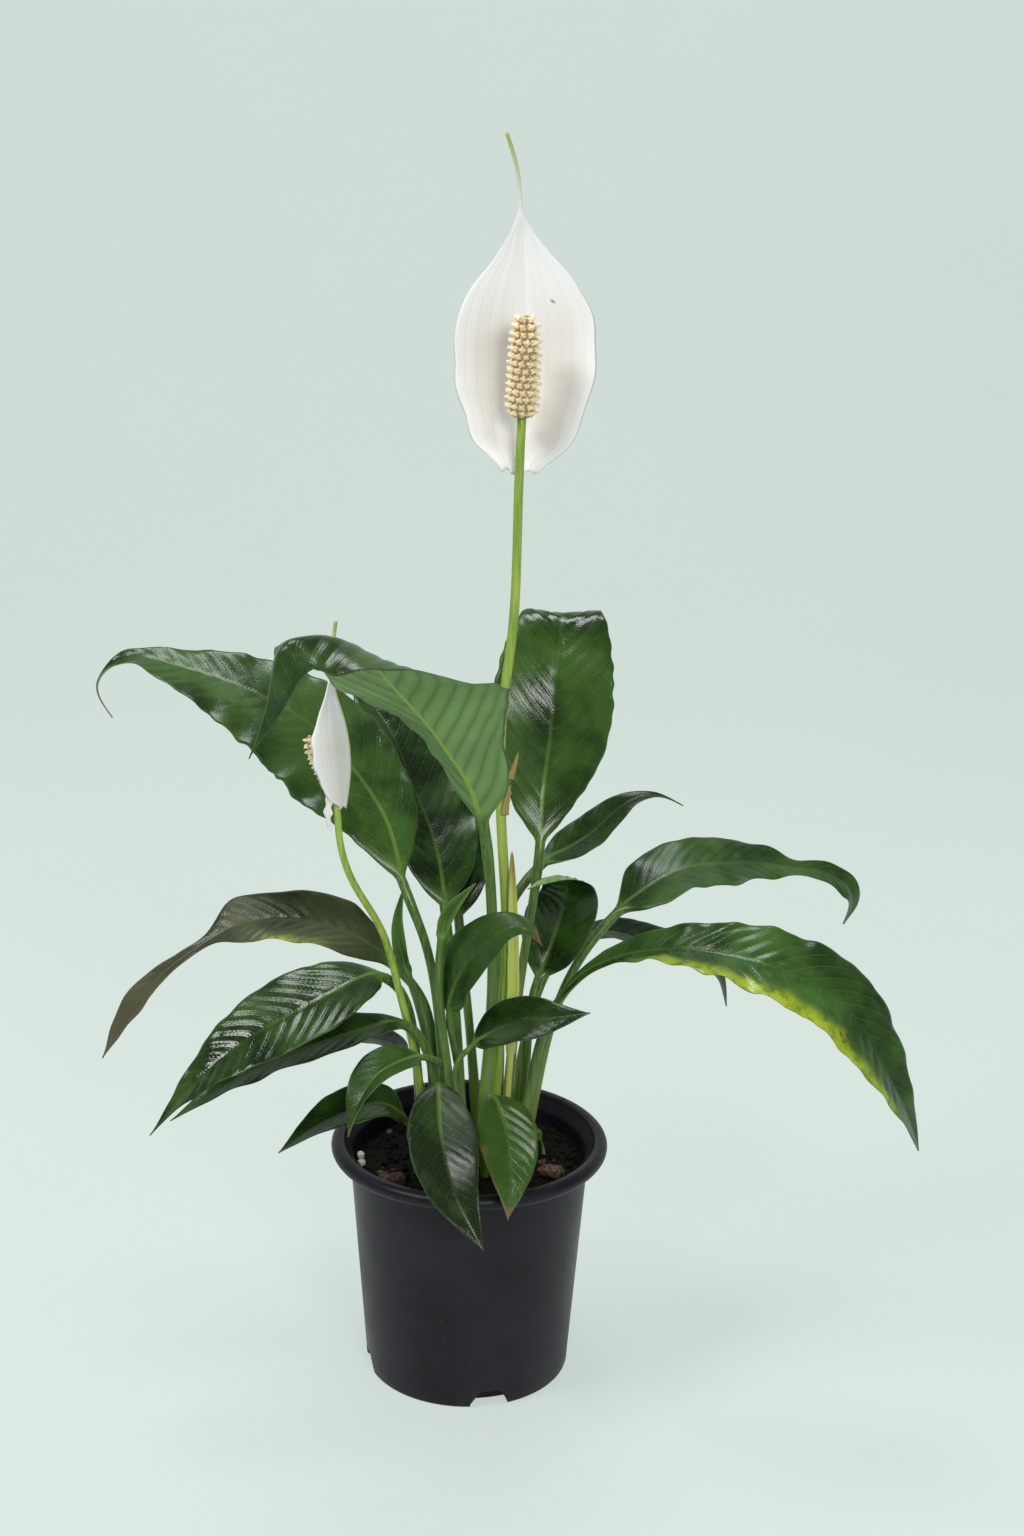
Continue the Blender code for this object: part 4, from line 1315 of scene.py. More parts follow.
         [(40, -8, 86), (50, -11, 103), (63, -14, 115), (82, -20, 124), (101, -28, 129),
          (119, -36, 130), (137, -44, 129), (156, -50, 124), (175, -56, 114), (188, -60, 99),
          (199, -63, 80), (208, -65, 62), (215, -66, 43)],
         [(-0.5, -0.5, 0.7), (-0.2, -0.5, 0.85), (0.3, -0.5, 0.8), (0.8, -0.4, 0.5)],
         folds=[35, 20, 5, 10], shoulder=1.8, taper=1.0,
         look=LeafLook(Slot.LEAF_YELLOWING, tone=0.0, wave=2.0, vein_gap=9.5, quilt=0.8, shine=0.6,
                       aged=(1.0, 0.45, 0.2, 0.85, 1.0))),
    LeafShape("leaf_hidden_right", 13, [(20, 19, 0), (28, 26, 60)],
         [(52, 46, 104), (68, 54, 106), (90, 62, 98), (111, 68, 91), (126, 72, 81), (135, 74, 57)],
         [(-0.1, -0.3, 0.9), (0.1, -0.3, 0.9), (0.8, -0.3, 0.5)], taper=0.9,
         look=LeafLook(tone=-0.1, wave=1.0, vein_gap=7.0)),
    LeafShape("leaf_low_back", 10, [(-20, 22, 0), (-26, 28, 30)],
         [(-34, 38, 43), (-48, 48, 45), (-62, 56, 43), (-79, 66, 34)],
         [(0, 0, 1), (-0.2, 0.1, 1)], stalk_radius=1.6,
         look=LeafLook(tone=-0.3, wave=0.8, vein_gap=6.0, scorch=(0.0, 0.5))),
    LeafShape("leaf_narrow_pale", 5, [(-19, -1, 0), (-21, -3, 60)],
         [(-31, -6, 104), (-35, -10, 121), (-36, -10, 136), (-33, -9, 152)],
         [(0, -0.9, 0.2), (0, -0.9, 0.2)], folds=[50, 50], stalk_radius=1.6,
         look=LeafLook(Slot.LEAF_PALE, tone=0.1, wave=0.3, vein_gap=5.0, quilt=0.15)),
]

TALL_STEM = [(12, 4, 0), (14, 3, 60), (17, 2, 119), (14, 2, 173), (14, 2, 246), (17, 1, 273),
             (19, 0, 340), (20, -3, 380)]
TALL_SPATHE = [(19, 5, 353), (20, 11, 371), (21, 18, 403), (20, 18, 440), (18, 12, 471),
               (16, 8, 489), (11, 6, 505)]
TALL_SPATHE_FACES = [(0, -1, 0.1), (0, -1, 0.0), (0, -1, -0.2), (0, -1, 0)]
LOW_STEM = [(-22, -8, 0), (-28, -7, 63), (-36, -12, 101), (-45, -20, 136), (-56, -26, 158),
            (-63, -30, 184), (-65, -30, 204), (-68, -30, 213)]
LOW_SPATHE = [(-61, -25.5, 198), (-59, -27, 212), (-59, -28, 226), (-62, -29, 243), (-66, -30, 258),
              (-66, -30, 270), (-64, -30, 288)]
LOW_SPATHE_FACES = [(-1, 0.1, 0.1), (-1, 0.1, 0), (-1, 0.1, 0)]

SHEATH_STALK = [(19, 0, 0), (19, -1, 30)]
SHEATH_BLADE = [(20, -2, 60), (21, -2, 100), (20, -2, 140), (19, -2, 168)]

# A torn strip hangs from the low spathe's foot beside its stem.
LOW_STRIP = [(-67, -32, 187), (-68, -32, 194), (-67, -32, 203), (-64, -30, 213)]

LEAF_FINISHES = {
    Slot.LEAF: LeafFinish(
        "leaf_green", deep=(0.003, 0.0125, 0.001), light=(0.036, 0.09, 0.011),
        underside=(0.19, 0.33, 0.105), rib=(0.26, 0.4, 0.07), vein=(0.075, 0.14, 0.04), aged=(0.2, 0.1, 0.02)),
    Slot.LEAF_BROWN: LeafFinish(
        "leaf_turning_brown",
        deep=(0.009, 0.015, 0.003), light=(0.052, 0.068, 0.024),
        underside=(0.12, 0.14, 0.05), rib=(0.14, 0.16, 0.06), vein=(0.1, 0.11, 0.05),
        aged=(0.32, 0.36, 0.03), scorched=(0.12, 0.11, 0.065)),
    Slot.LEAF_YELLOWING: LeafFinish(
        "leaf_yellowing", deep=(0.008, 0.026, 0.004), light=(0.045, 0.125, 0.016),
        underside=(0.13, 0.25, 0.05), rib=(0.14, 0.25, 0.05), vein=(0.1, 0.22, 0.05), aged=(0.34, 0.45, 0.02)),
    Slot.LEAF_PALE: LeafFinish(
        "leaf_pale", deep=(0.035, 0.09, 0.015), light=(0.1, 0.2, 0.04),
        underside=(0.16, 0.3, 0.07), rib=(0.26, 0.4, 0.1), vein=(0.14, 0.26, 0.08), aged=(0.3, 0.36, 0.03)),
}


@dataclass
class Foliage:
    """All the leaves and their finishes."""

    finishes: dict[Slot, LeafFinish]
    shapes: list[LeafShape]

    def build(self) -> None:
        """Build every leaf and put it in the frame."""
        dressed = {slot: finish.material() for slot, finish in self.finishes.items()}
        for shape in self.shapes:
            piece = shape.build(dressed[shape.look.slot])
            place(piece, shape.look.slot, shape.name)


@dataclass
class Seedling:
    """A small weed shoot with two narrow leaves, built here as one narrow leaf."""

    x: float = 38.0
    y: float = 10.0
    height: float = 16.0

    def build(self, material: bpy.types.Material) -> None:
        """Build the shoot and put it in the frame.

        Args:
            material: Its finish.
        """
        x, y, tall = self.x, self.y, self.height
        look = LeafLook(wave=0.2, quilt=0.1, vein_gap=3.0, tone=0.4)
        shoot = LeafShape(
            "seedling",
            3.2,
            [(x, y, 0), (x - 1, y - 1, tall * 0.4)],
            [(x - 2, y - 2, tall * 0.6), (x - 4, y - 5, tall * 0.9), (x - 6, y - 10, tall)],
            [(0, -0.6, 0.8), (-0.2, -0.4, 0.9)],
            stalk_radius=0.7,
            half_thickness=0.25,
            rib_depth=0.2,
            ring_gap=0.6,
            columns=17,
            look=look,
        )
        place(shoot.build(material), Slot.LEAF, "seedling")


@dataclass
class FlowerStem:
    """A round flower stem with shallow ridges."""

    name: str
    node: str
    points: list[Point]
    radius: float
    rings: int = 90
    around: int = 28

    def build(self, material: bpy.types.Material) -> np.ndarray:
        """Build the stem and put it in the frame.

        Args:
            material: Its finish.

        Returns:
            The place of its upper end.
        """
        line = Midline(rooted(self.points))
        length = line.knots[-1]
        normal = np.array((0.0, -1.0, 0.0))
        angles = circle(self.around)
        skin = Skin()
        for t in np.linspace(0.0, length, self.rings):
            spot, tangent = line.at(t)
            normal = square_to(normal, tangent)
            wide = self.radius * (1.3 - 0.3 * (t / length))
            ridged = wide * (1 + 0.035 * np.cos(7 * angles) + 0.02 * float(ripple(5, np.array(t / 60.0))))
            skin.add(Cut(t, spot, tangent, normal).ring(ridged * np.cos(angles), ridged * np.sin(angles)))
        skin.bury()
        place(skin.piece(self.name, material), Slot.STEM, self.node)
        return spot


@dataclass
class Spathe:
    """A white hood that opens round the spike and ends in a thin green-tipped tail."""

    name: str
    node: str
    points: list[Point]
    faces: list[Point]
    half_width: float
    cup: float
    widths: Sequence[float] = (0.28, 0.68, 0.83, 0.95, 1.0, 0.99, 0.93, 0.72, 0.4, 0.14, 0.0)
    blade_share: float = 0.80
    tail_radius: float = 0.9
    half_thickness: float = 0.45
    wave: float = 1.6
    rings: int = 110
    columns: int = 41
    speck: tuple[float, float] | None = None

    def build(self, material: bpy.types.Material) -> None:
        """Build the spathe and put it in the frame.

        Args:
            material: Its finish.
        """
        line = Midline(above_soil(self.points))
        section = Section.of(self.columns)
        skin = Skin()
        for u in np.arange(self.rings) / (self.rings - 1):
            spot, tangent = line.at(u * float(line.knots[-1]))
            cut = Cut(u, spot, tangent, square_to(spread(self.faces, u), tangent))
            skin.add(*self.ring(cut, section))
        place(skin.piece(self.name, material), Slot.SPATHE, self.node)

    def ring(self, cut: Cut, section: Section) -> Ring:
        """Make one ring of the hood.

        Args:
            cut: Where the ring crosses the midrib, as a share of its length.
            section: The points round it.

        Returns:
            The ring and its traits.
        """
        u = cut.mark
        s = min(1.0, u / self.blade_share)
        wide = math.hypot(self.half_width * max(0.0, float(spread(self.widths, s))), self.tail_radius)
        flat = float(smoothstep(1.5, 6.0, wide))
        v = section.across(0.75 * flat)
        margin = np.abs(v)
        uneven = ripple(21, u * 4.0 + np.where(v > 0, 0.43, 0.0))
        x = wide * v * (1 + 0.03 * flat * uneven * margin)
        wavy = self.wave * flat * margin**3 * ripple(11, np.where(v > 0, 0.4, 0.0) + u * 2.2)
        foot = (u < 0.3) * (0.3 - u) / 0.3
        wavy = wavy + 2.6 * flat * margin**2 * ripple(12, np.where(v > 0, 0.3, 0.0) + u * 6.0) * foot
        crease = -1.1 * flat * np.exp(-((x / 1.8) ** 2))
        pleats = 0.35 * flat * ripple(31, v * 1.6 + 0.2 * u, 3) * (1 - margin**4)
        edge = np.sqrt(np.clip(1 - margin**8, 0, 1))
        round_off = np.sin(section.around) * self.tail_radius * (1 - flat)
        depth = section.facing() * self.half_thickness * edge * flat + round_off
        lift = self.cup * x**2 / self.half_width + wavy + crease + pleats + depth
        torn = 2.6 * flat * (ripple(41, v * 1.3, 3) - 0.4 * (1 - margin)) * smoothstep(0.16, 0.0, s)
        # low and the margin set where the finish paints shade: the lower half of the hood, in the hollow
        # either side of the spike.
        low = smoothstep(0.75, 0.35, s) * smoothstep(0.0, 0.12, s)
        traits = {
            "phase": v * 6.0 + 20.0,
            "rib": np.abs(x),
            "under": section.under(),
            "tail": smoothstep(self.blade_share * 0.93, 1.0, u),
            "scorch": 0.0,
            "hollow": low * smoothstep(0.95, 0.55, margin) * smoothstep(0.02, 0.3, margin),
        }
        if self.speck:
            away = np.hypot((u - self.speck[0]) * 150.0, x - self.speck[1])
            traits["scorch"] = smoothstep(1.1, 0.6, away)
        return cut.ring(x, lift) + np.outer(torn, cut.tangent), traits


@dataclass
class Spadix:
    """A spike covered in rows of small star-like flowers.

    Each step of a flower's profile is its reach, its height and how far it has risen.
    """

    name: str
    node: str
    foot: np.ndarray
    axis: Point
    length: float
    radius: float
    rows: int
    per_row: int
    core: float = 0.68
    covered: float = 0.97
    rod_rings: int = 40
    rod_around: int = 32
    points_around: int = 18
    profile: tuple[Point, ...] = (
        (1.0, -0.35, 0.0), (1.0, 0.0, 0.1), (0.84, 0.35, 0.45), (0.6, 0.7, 0.8),
        (0.42, 1.15, 1.0), (0.27, 1.5, 1.0), (0.1, 1.6, 1.0),
    )

    def radius_at(self, share: float) -> float:
        """Give the spike's radius under the flowers."""
        round_off = math.sqrt(max(0.05, 1 - max(0.0, share - 0.75) ** 2 / 0.25**2))
        return self.radius * self.core * round_off * min(1.0, 0.66 + share * 4) * (1 - 0.12 * share)

    def build(self, material: bpy.types.Material) -> None:
        """Build the spike and put it in the frame.

        Args:
            material: Its finish.
        """
        axis = np.array(self.axis) / np.linalg.norm(self.axis)
        side = square_to(np.array((1.0, 0.0, 0.0)), axis)
        other = np.cross(axis, side)
        angles = circle(self.rod_around)
        rod = Skin()
        for share in np.linspace(0, 1, self.rod_rings):
            spot = self.foot + axis * (self.length * self.covered * share - 0.5)
            circled = np.outer(np.cos(angles), side) + np.outer(np.sin(angles), other)
            rod.add(spot + self.radius_at(share) * circled, {"rise": 0.0, "tip": 0.0})
        bodies = [rod]
        draw = np.random.default_rng(17)
        for row in range(self.rows):
            share = (row + 0.5) / self.rows
            wide = self.radius_at(share)
            around = max(3, round(self.per_row * wide / (self.radius * self.core)))
            for k in range(around):
                turn = 2 * math.pi * (k + 0.5 * (row % 2)) / around + draw.uniform(-0.04, 0.04)
                lift = 0.12 + max(0.0, share - 0.8) * 2.4
                outward = side * math.cos(turn) + other * math.sin(turn)
                out = (outward + axis * lift) / np.linalg.norm(outward + axis * lift)
                spot = self.foot + axis * (self.length * self.covered * share + draw.uniform(-0.15, 0.15))
                bodies.append(self.floret(spot + outward * wide, out, axis, draw))
        place(bundle(self.name, bodies, material), Slot.SPADIX, self.node)

    def floret(
        self, spot: np.ndarray, out: np.ndarray, axis: np.ndarray, draw: np.random.Generator
    ) -> Skin:
        """Shape one flower: a four-lobed cushion with a raised middle.

        Args:
            spot: Its foot.
            out: The direction in which it looks.
            axis: The spike's axis.
            draw: The source of small differences.

        Returns:
            Its body.
        """
        side = square_to(np.cross(axis, out), out)
        other = np.cross(out, side)
        size = math.pi * self.radius * self.core / self.per_row * 1.2 * draw.uniform(0.9, 1.1)
        spin = draw.uniform(0, math.pi / 3)
        angles = circle(self.points_around)
        dips = 1 - (0.5 + 0.5 * np.cos(4 * (angles + spin)))
        flower = Skin()
        for reach, height, share in self.profile:
            deep = 0.34 if 0.4 < reach < 0.95 else 0.1
            wide = size * reach * (1 - deep * dips)
            tall = size * height * (1 - 0.22 * dips * (reach > 0.5))
            ring = spot + np.outer(wide * np.cos(angles), side) + np.outer(wide * np.sin(angles), other)
            # rise is low at the floret's foot, where the finish paints shade.
            rise = share * (1 - 0.45 * dips * (reach > 0.5))
            flower.add(ring + np.outer(tall, out), {"rise": rise, "tip": float(height > 1.55)})
        return flower


@dataclass
class SpentSheath:
    """The dry sheath beside the tall flower's stem, and the scraps that hang from it."""

    leaf: LeafShape
    scraps: list[tuple[Point, Point, float]] = field(
        default_factory=lambda: [
            ((16.5, -1.2, 196), (12.0, -3.0, 214), 2.4),
            ((15.5, -1.6, 186), (17.5, -4.4, 203), 2.0),
            ((18.0, -1.0, 204), (21.0, -2.6, 219), 1.7),
        ]
    )
    scrap_thickness: float = 0.16

    def build(self, material: bpy.types.Material) -> None:
        """Build the sheath and its scraps, and put them in the frame.

        Args:
            material: Their finish.
        """
        place(self.leaf.build(material), Slot.SHEATH, self.leaf.name)
        scraps = [self.scrap(number, *each) for number, each in enumerate(self.scraps)]
        place(bundle("sheath_scraps", scraps, material), Slot.SHEATH)

    def scrap(self, number: int, low: Point, high: Point, wide: float) -> Skin:
        """Shape one curled scrap.

        Args:
            number: Which scrap.
            low: Its lower end, above the soil.
            high: Its upper end.
            wide: Half its width, in mm.

        Returns:
            Its body.
        """
        foot, top = np.array(above_soil([low, high]))
        run = top - foot
        side = square_to(np.array((1.0, 0.3, 0.0)), run / np.linalg.norm(run))
        out = np.cross(run / np.linalg.norm(run), side)
        angles = circle(12)
        skin = Skin()
        for share in np.linspace(0, 1, 14):
            ragged = 1 + 0.2 * float(ripple(number, np.array(share * 4)))
            reach = wide * (1 - share) ** 0.6 * ragged + 0.08
            middle = foot + run * share + out * (0.9 * math.sin(share * 3 + number))
            off = self.scrap_thickness * np.sin(angles) + 0.25 * reach * np.cos(angles) ** 2
            ring = middle + np.outer(reach * np.cos(angles), side) + np.outer(off, out)
            skin.add(ring, {"aged": 1.0, "scorch": 0.75})
        return skin


# ---------------------------------------------------------------- pot and soil


@dataclass
class Pot:
    """The nursery pot, turned from its section, with drain notches in its foot."""

    height: float = 125.0
    rim_radius: float = 70.0
    body_radius: float = 60.5
    base_radius: float = 52.0
    wall: float = 1.5
    lip_width: float = 6.7
    lip_depth: float = 7.5
    foot_height: float = 2.5
    foot_width: float = 6.0
    pad_radius: float = 20.0
    notch_width: float = 20.0
    notch_turn: float = 14.0
    sides: int = 180
    nub: Point = (48.0, 45.0, 124.2)
    sharp_over: float = 38.0
    notch_shape: tuple[tuple[float, float], ...] = (
        (-1, -3.0), (1, -3.0), (0.96, 2.0), (0.62, 7.2), (0.5, 8.6), (0.38, 9.0),
        (-0.38, 9.0), (-0.5, 8.6), (-0.62, 7.2), (-0.96, 2.0),
    )

    def section(self) -> list[tuple[float, float]]:
        """Draw the section: down the outside, in along the underside and up the inside.

        Returns:
            Radius and height pairs, in mm.
        """
        bead = self.lip_depth / 2
        under = self.height - self.lip_depth
        inner = self.rim_radius - self.lip_width
        base = self.base_radius
        floor = self.foot_height + self.wall
        turn = [math.radians(a) for a in np.linspace(90, -90, 15)]
        rim, top = self.rim_radius - bead, self.height
        points = [(rim + bead * math.cos(a), top - bead + bead * math.sin(a)) for a in turn]
        body = self.body_radius
        points += [(body + 1.6, under), (body + 0.6, under - 0.25)]
        points += [(body + 0.1, under - 0.9), (body, under - 1.6)]
        for share in np.linspace(0.08, 0.95, 12):
            points.append((body + (base - body) * share, under - 1.6 + (1.8 - under + 1.6) * share))
        points += [(base + 0.05, 1.4), (base - 0.25, 0.5), (base - 1.0, 0.0), (base - self.foot_width, 0.0)]
        points += [(base - self.foot_width - 0.6, self.foot_height)]
        points += [(self.pad_radius + 0.6, self.foot_height)]
        points += [(self.pad_radius, 0.0), (0.0, 0.0), (0.0, floor), (base - self.wall - 1.5, floor)]
        points += [(base - self.wall, floor + 1.5), (body - self.wall, under - 1.0)]
        points += [(body - self.wall + 0.4, under + 1.2), (inner - 0.3, top - 3.0)]
        points += [(inner, top - 1.6), (inner + 0.35, top - 0.7), (inner + 1.0, top - 0.15)]
        return points

    def turned(self, material: bpy.types.Material) -> bpy.types.Object:
        """Turn the section round the pot's axis.

        Args:
            material: Its finish.

        Returns:
            The pot without its notches.
        """
        verts: list[Point] = []
        rows: list[list[int]] = []
        for radius, height in self.section():
            if radius == 0:
                rows.append([len(verts)] * self.sides)
                verts.append((0.0, 0.0, height))
                continue
            rows.append(list(range(len(verts), len(verts) + self.sides)))
            verts += [(radius * math.cos(a), radius * math.sin(a), height) for a in circle(self.sides)]
        faces: list[Any] = []
        for upper, lower in zip(rows, rows[1:] + rows[:1]):
            for k in range(self.sides):
                after = (k + 1) % self.sides
                corners = tuple(dict.fromkeys((upper[k], lower[k], lower[after], upper[after])))
                if len(corners) > 2:
                    faces.append(corners)
        return piece_from("nursery_pot", np.array(verts), faces, material)

    def build(self, material: bpy.types.Material) -> None:
        """Build the pot and put it in the frame.

        Args:
            material: Its finish.
        """
        pot = self.turned(material)
        cutter = self.notches(material)
        cut = pot.modifiers.new("notches", "BOOLEAN")
        cut.operation = "DIFFERENCE"
        cut.solver = "EXACT"
        cut.object = cutter
        bpy.context.view_layer.update()
        finished = bpy.data.meshes.new_from_object(pot.evaluated_get(bpy.context.evaluated_depsgraph_get()))
        pot.modifiers.clear()
        pot.data = finished
        finished.shade_smooth()
        finished.set_sharp_from_angle(angle=math.radians(self.sharp_over))
        bpy.data.objects.remove(cutter, do_unlink=True)
        place(pot, Slot.POT, "pot")
        place(self.rim_nub(material), Slot.POT)

    def notches(self, material: bpy.types.Material) -> bpy.types.Object:
        """Make the blocks that cut the drain notches.

        Args:
            material: The pot's finish.

        Returns:
            The cutter.
        """
        depth = self.foot_width + 4
        count = len(self.notch_shape)
        faces: list[Any] = [tuple(range(count)), tuple(range(count, 2 * count))]
        for k in range(count):
            after = (k + 1) % count
            faces.append((k, after, count + after, count + k))
        blocks: list[Body] = []
        for number in range(4):
            turn = math.radians(-90 + self.notch_turn + number * 90)
            verts = []
            for along in (self.base_radius - depth, self.base_radius + depth):
                for across, tall in self.notch_shape:
                    wide = across * self.notch_width / 2
                    x = along * math.cos(turn) - wide * math.sin(turn)
                    verts.append((x, along * math.sin(turn) + wide * math.cos(turn), tall))
            blocks.append((np.array(verts), faces))
        return piece_from("notch_block", *join(blocks), material)

    def rim_nub(self, material: bpy.types.Material) -> bpy.types.Object:
        """Make the small moulding nub on the rim.

        Args:
            material: The pot's finish.

        Returns:
            The piece.
        """
        x, y, top = self.nub
        angles = circle(20)
        nub = Skin()
        for wide, tall in ((1.9, -0.6), (1.85, 0.35), (1.6, 0.75), (1.1, 1.0), (0.4, 1.08)):
            level = np.full_like(angles, top + tall)
            nub.add(np.stack((x + wide * np.cos(angles), y + wide * np.sin(angles), level), axis=1))
        return nub.piece("rim_nub", material)


@dataclass
class Soil:
    """The potting soil: its uneven surface, crumbs and bark slivers."""

    radius: float = 58.4
    floor: float = 4.4
    low_radius: float = 50.2
    rings: int = 46
    around: int = 150
    crumbs: int = 760
    chips: int = 46

    def height_at(self, x: float, y: float) -> float:
        """Give the height of the surface above its mean level.

        Args:
            x: The place along X, in mm.
            y: The place along Y, in mm.

        Returns:
            The height, in mm.
        """
        broad = noise.noise(Vector((x * 0.045, y * 0.045, 0.3)))
        fine = noise.noise(Vector((x * 0.33, y * 0.33, 2.7)))
        grit = noise.noise(Vector((x * 0.95, y * 0.95, 5.1)))
        return 1.1 * broad + 0.7 * fine + 0.4 * grit

    def build(self, material: bpy.types.Material, bark: bpy.types.Material) -> None:
        """Build the soil and what lies in it, and put them in the frame.

        Args:
            material: The soil's finish.
            bark: The finish of the small bark pieces.
        """
        angles = circle(self.around)
        rows = [
            [(self.low_radius * math.cos(a), self.low_radius * math.sin(a), self.floor) for a in angles],
            [(self.radius * math.cos(a), self.radius * math.sin(a), SOIL_TOP - 1.5) for a in angles],
        ]
        for share in np.linspace(1.0, 0.01, self.rings):
            ring = []
            for a in angles:
                x, y = self.radius * share * math.cos(a), self.radius * share * math.sin(a)
                ring.append((x, y, SOIL_TOP + self.height_at(x, y)))
            rows.append(ring)
        verts = np.array(rows).reshape(-1, 3)
        bed = piece_from("potting_soil", verts, tube_faces(len(rows), self.around), material)
        place(bed, Slot.SOIL, "soil")
        draw = np.random.default_rng(4)
        crumbs = [self.lump(draw, 0.5, 2.3, 0.75) for _ in range(self.crumbs)]
        place(piece_from("soil_crumbs", *join(crumbs), material), Slot.SOIL)
        slivers = [self.lump(draw, 0.9, 3.2, 0.4) for _ in range(self.chips)]
        place(piece_from("bark_slivers", *join(slivers), bark), Slot.BARK)

    def lump(self, draw: np.random.Generator, small: float, large: float, flat: float) -> Body:
        """Shape one irregular crumb that lies on the surface.

        Args:
            draw: The source of its place and shape.
            small: The least radius, in mm.
            large: The greatest radius, in mm.
            flat: How tall it is against its width.

        Returns:
            Its points and faces.
        """
        reach = self.radius * 0.97 * math.sqrt(draw.uniform(0.0, 1.0))
        turn = draw.uniform(0, 2 * math.pi)
        size = small + (large - small) * draw.uniform(0, 1) ** 2.6
        reach = min(reach, self.radius - size)
        x, y = reach * math.cos(turn), reach * math.sin(turn)
        seed = draw.uniform(0, 90)
        spin = Matrix.Rotation(draw.uniform(0, 6.28), 3, "Z")
        spin = spin @ Matrix.Rotation(draw.uniform(-0.4, 0.4), 3, "X")
        stretch = Vector((draw.uniform(0.8, 1.5), draw.uniform(0.6, 1.0), flat))
        centre = Vector((x, y, SOIL_TOP + self.height_at(x, y) + size * flat * 0.35))
        body = bmesh.new()
        bmesh.ops.create_icosphere(body, subdivisions=1 if size < 1.4 else 2, radius=1.0)
        points = []
        for vert in body.verts:
            bulge = 1 + 0.34 * noise.noise(vert.co * 1.7 + Vector((seed, 0, 0)))
            points.append(tuple(centre + spin @ Vector(vert.co * bulge * stretch) * size))
        faces = [tuple(vert.index for vert in face.verts) for face in body.faces]
        body.free()
        return np.array(points), faces


@dataclass
class Litter:
    """The larger bark chips and perlite grains, each at its node's own box."""

    chips: tuple[str, ...] = ("bark_chip_front", "bark_chip_right", "bark_chip_back", "bark_chip_side")
    grains: tuple[str, ...] = ("perlite_left", "perlite_front")

    def build(self, bark: bpy.types.Material, white: bpy.types.Material) -> None:
        """Build every chip and grain and put it in the frame.

        Args:
            bark: The chips' finish.
            white: The grains' finish.
        """
        for number, node in enumerate(self.chips):
            place(self.rock(node, number, bark, layers=9.0, rough=0.14), Slot.BARK, node)
        for number, node in enumerate(self.grains):
            place(self.rock(node, number + 9, white, layers=0.0, rough=0.2), Slot.PERLITE, node)

    def rock(
        self, node: str, seed: int, material: bpy.types.Material, layers: float, rough: float
    ) -> bpy.types.Object:
        """Roughen a copy of a node's shape.

        Args:
            node: The node that it stands for.
            seed: Which set of bumps.
            material: The finish.
            layers: How many layers are split along its height, or 0.
            rough: How far its surface wanders, as a share of its height.

        Returns:
            The piece.
        """
        shape = bmesh.new()
        shape.from_mesh(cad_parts[node].data)
        bmesh.ops.remove_doubles(shape, verts=shape.verts, dist=0.00001)
        bmesh.ops.subdivide_edges(shape, edges=shape.edges[:], cuts=4, use_grid_fill=True)
        bmesh.ops.triangulate(shape, faces=shape.faces[:])
        low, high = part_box(node)
        tall = (high.z - low.z) / MM
        shape.normal_update()
        for vert in shape.verts:
            at = vert.co / MM
            push = rough * tall * noise.noise(at * 0.45 + Vector((seed * 7.0, 0, 0)))
            push += rough * 0.5 * tall * noise.noise(at * 1.3 + Vector((0, seed * 5.0, 0)))
            if layers:
                push += 0.05 * tall * math.sin(layers * at.z / tall * 2.0 + at.x * 0.2)
            vert.co += vert.normal * push * MM
            vert.co.z -= 0.7 * MM
        points = np.array([vert.co / MM for vert in shape.verts])
        faces = [tuple(vert.index for vert in face.verts) for face in shape.faces]
        shape.free()
        return piece_from(node + "_piece", points, faces, material)


# ---------------------------------------------------------------- studio


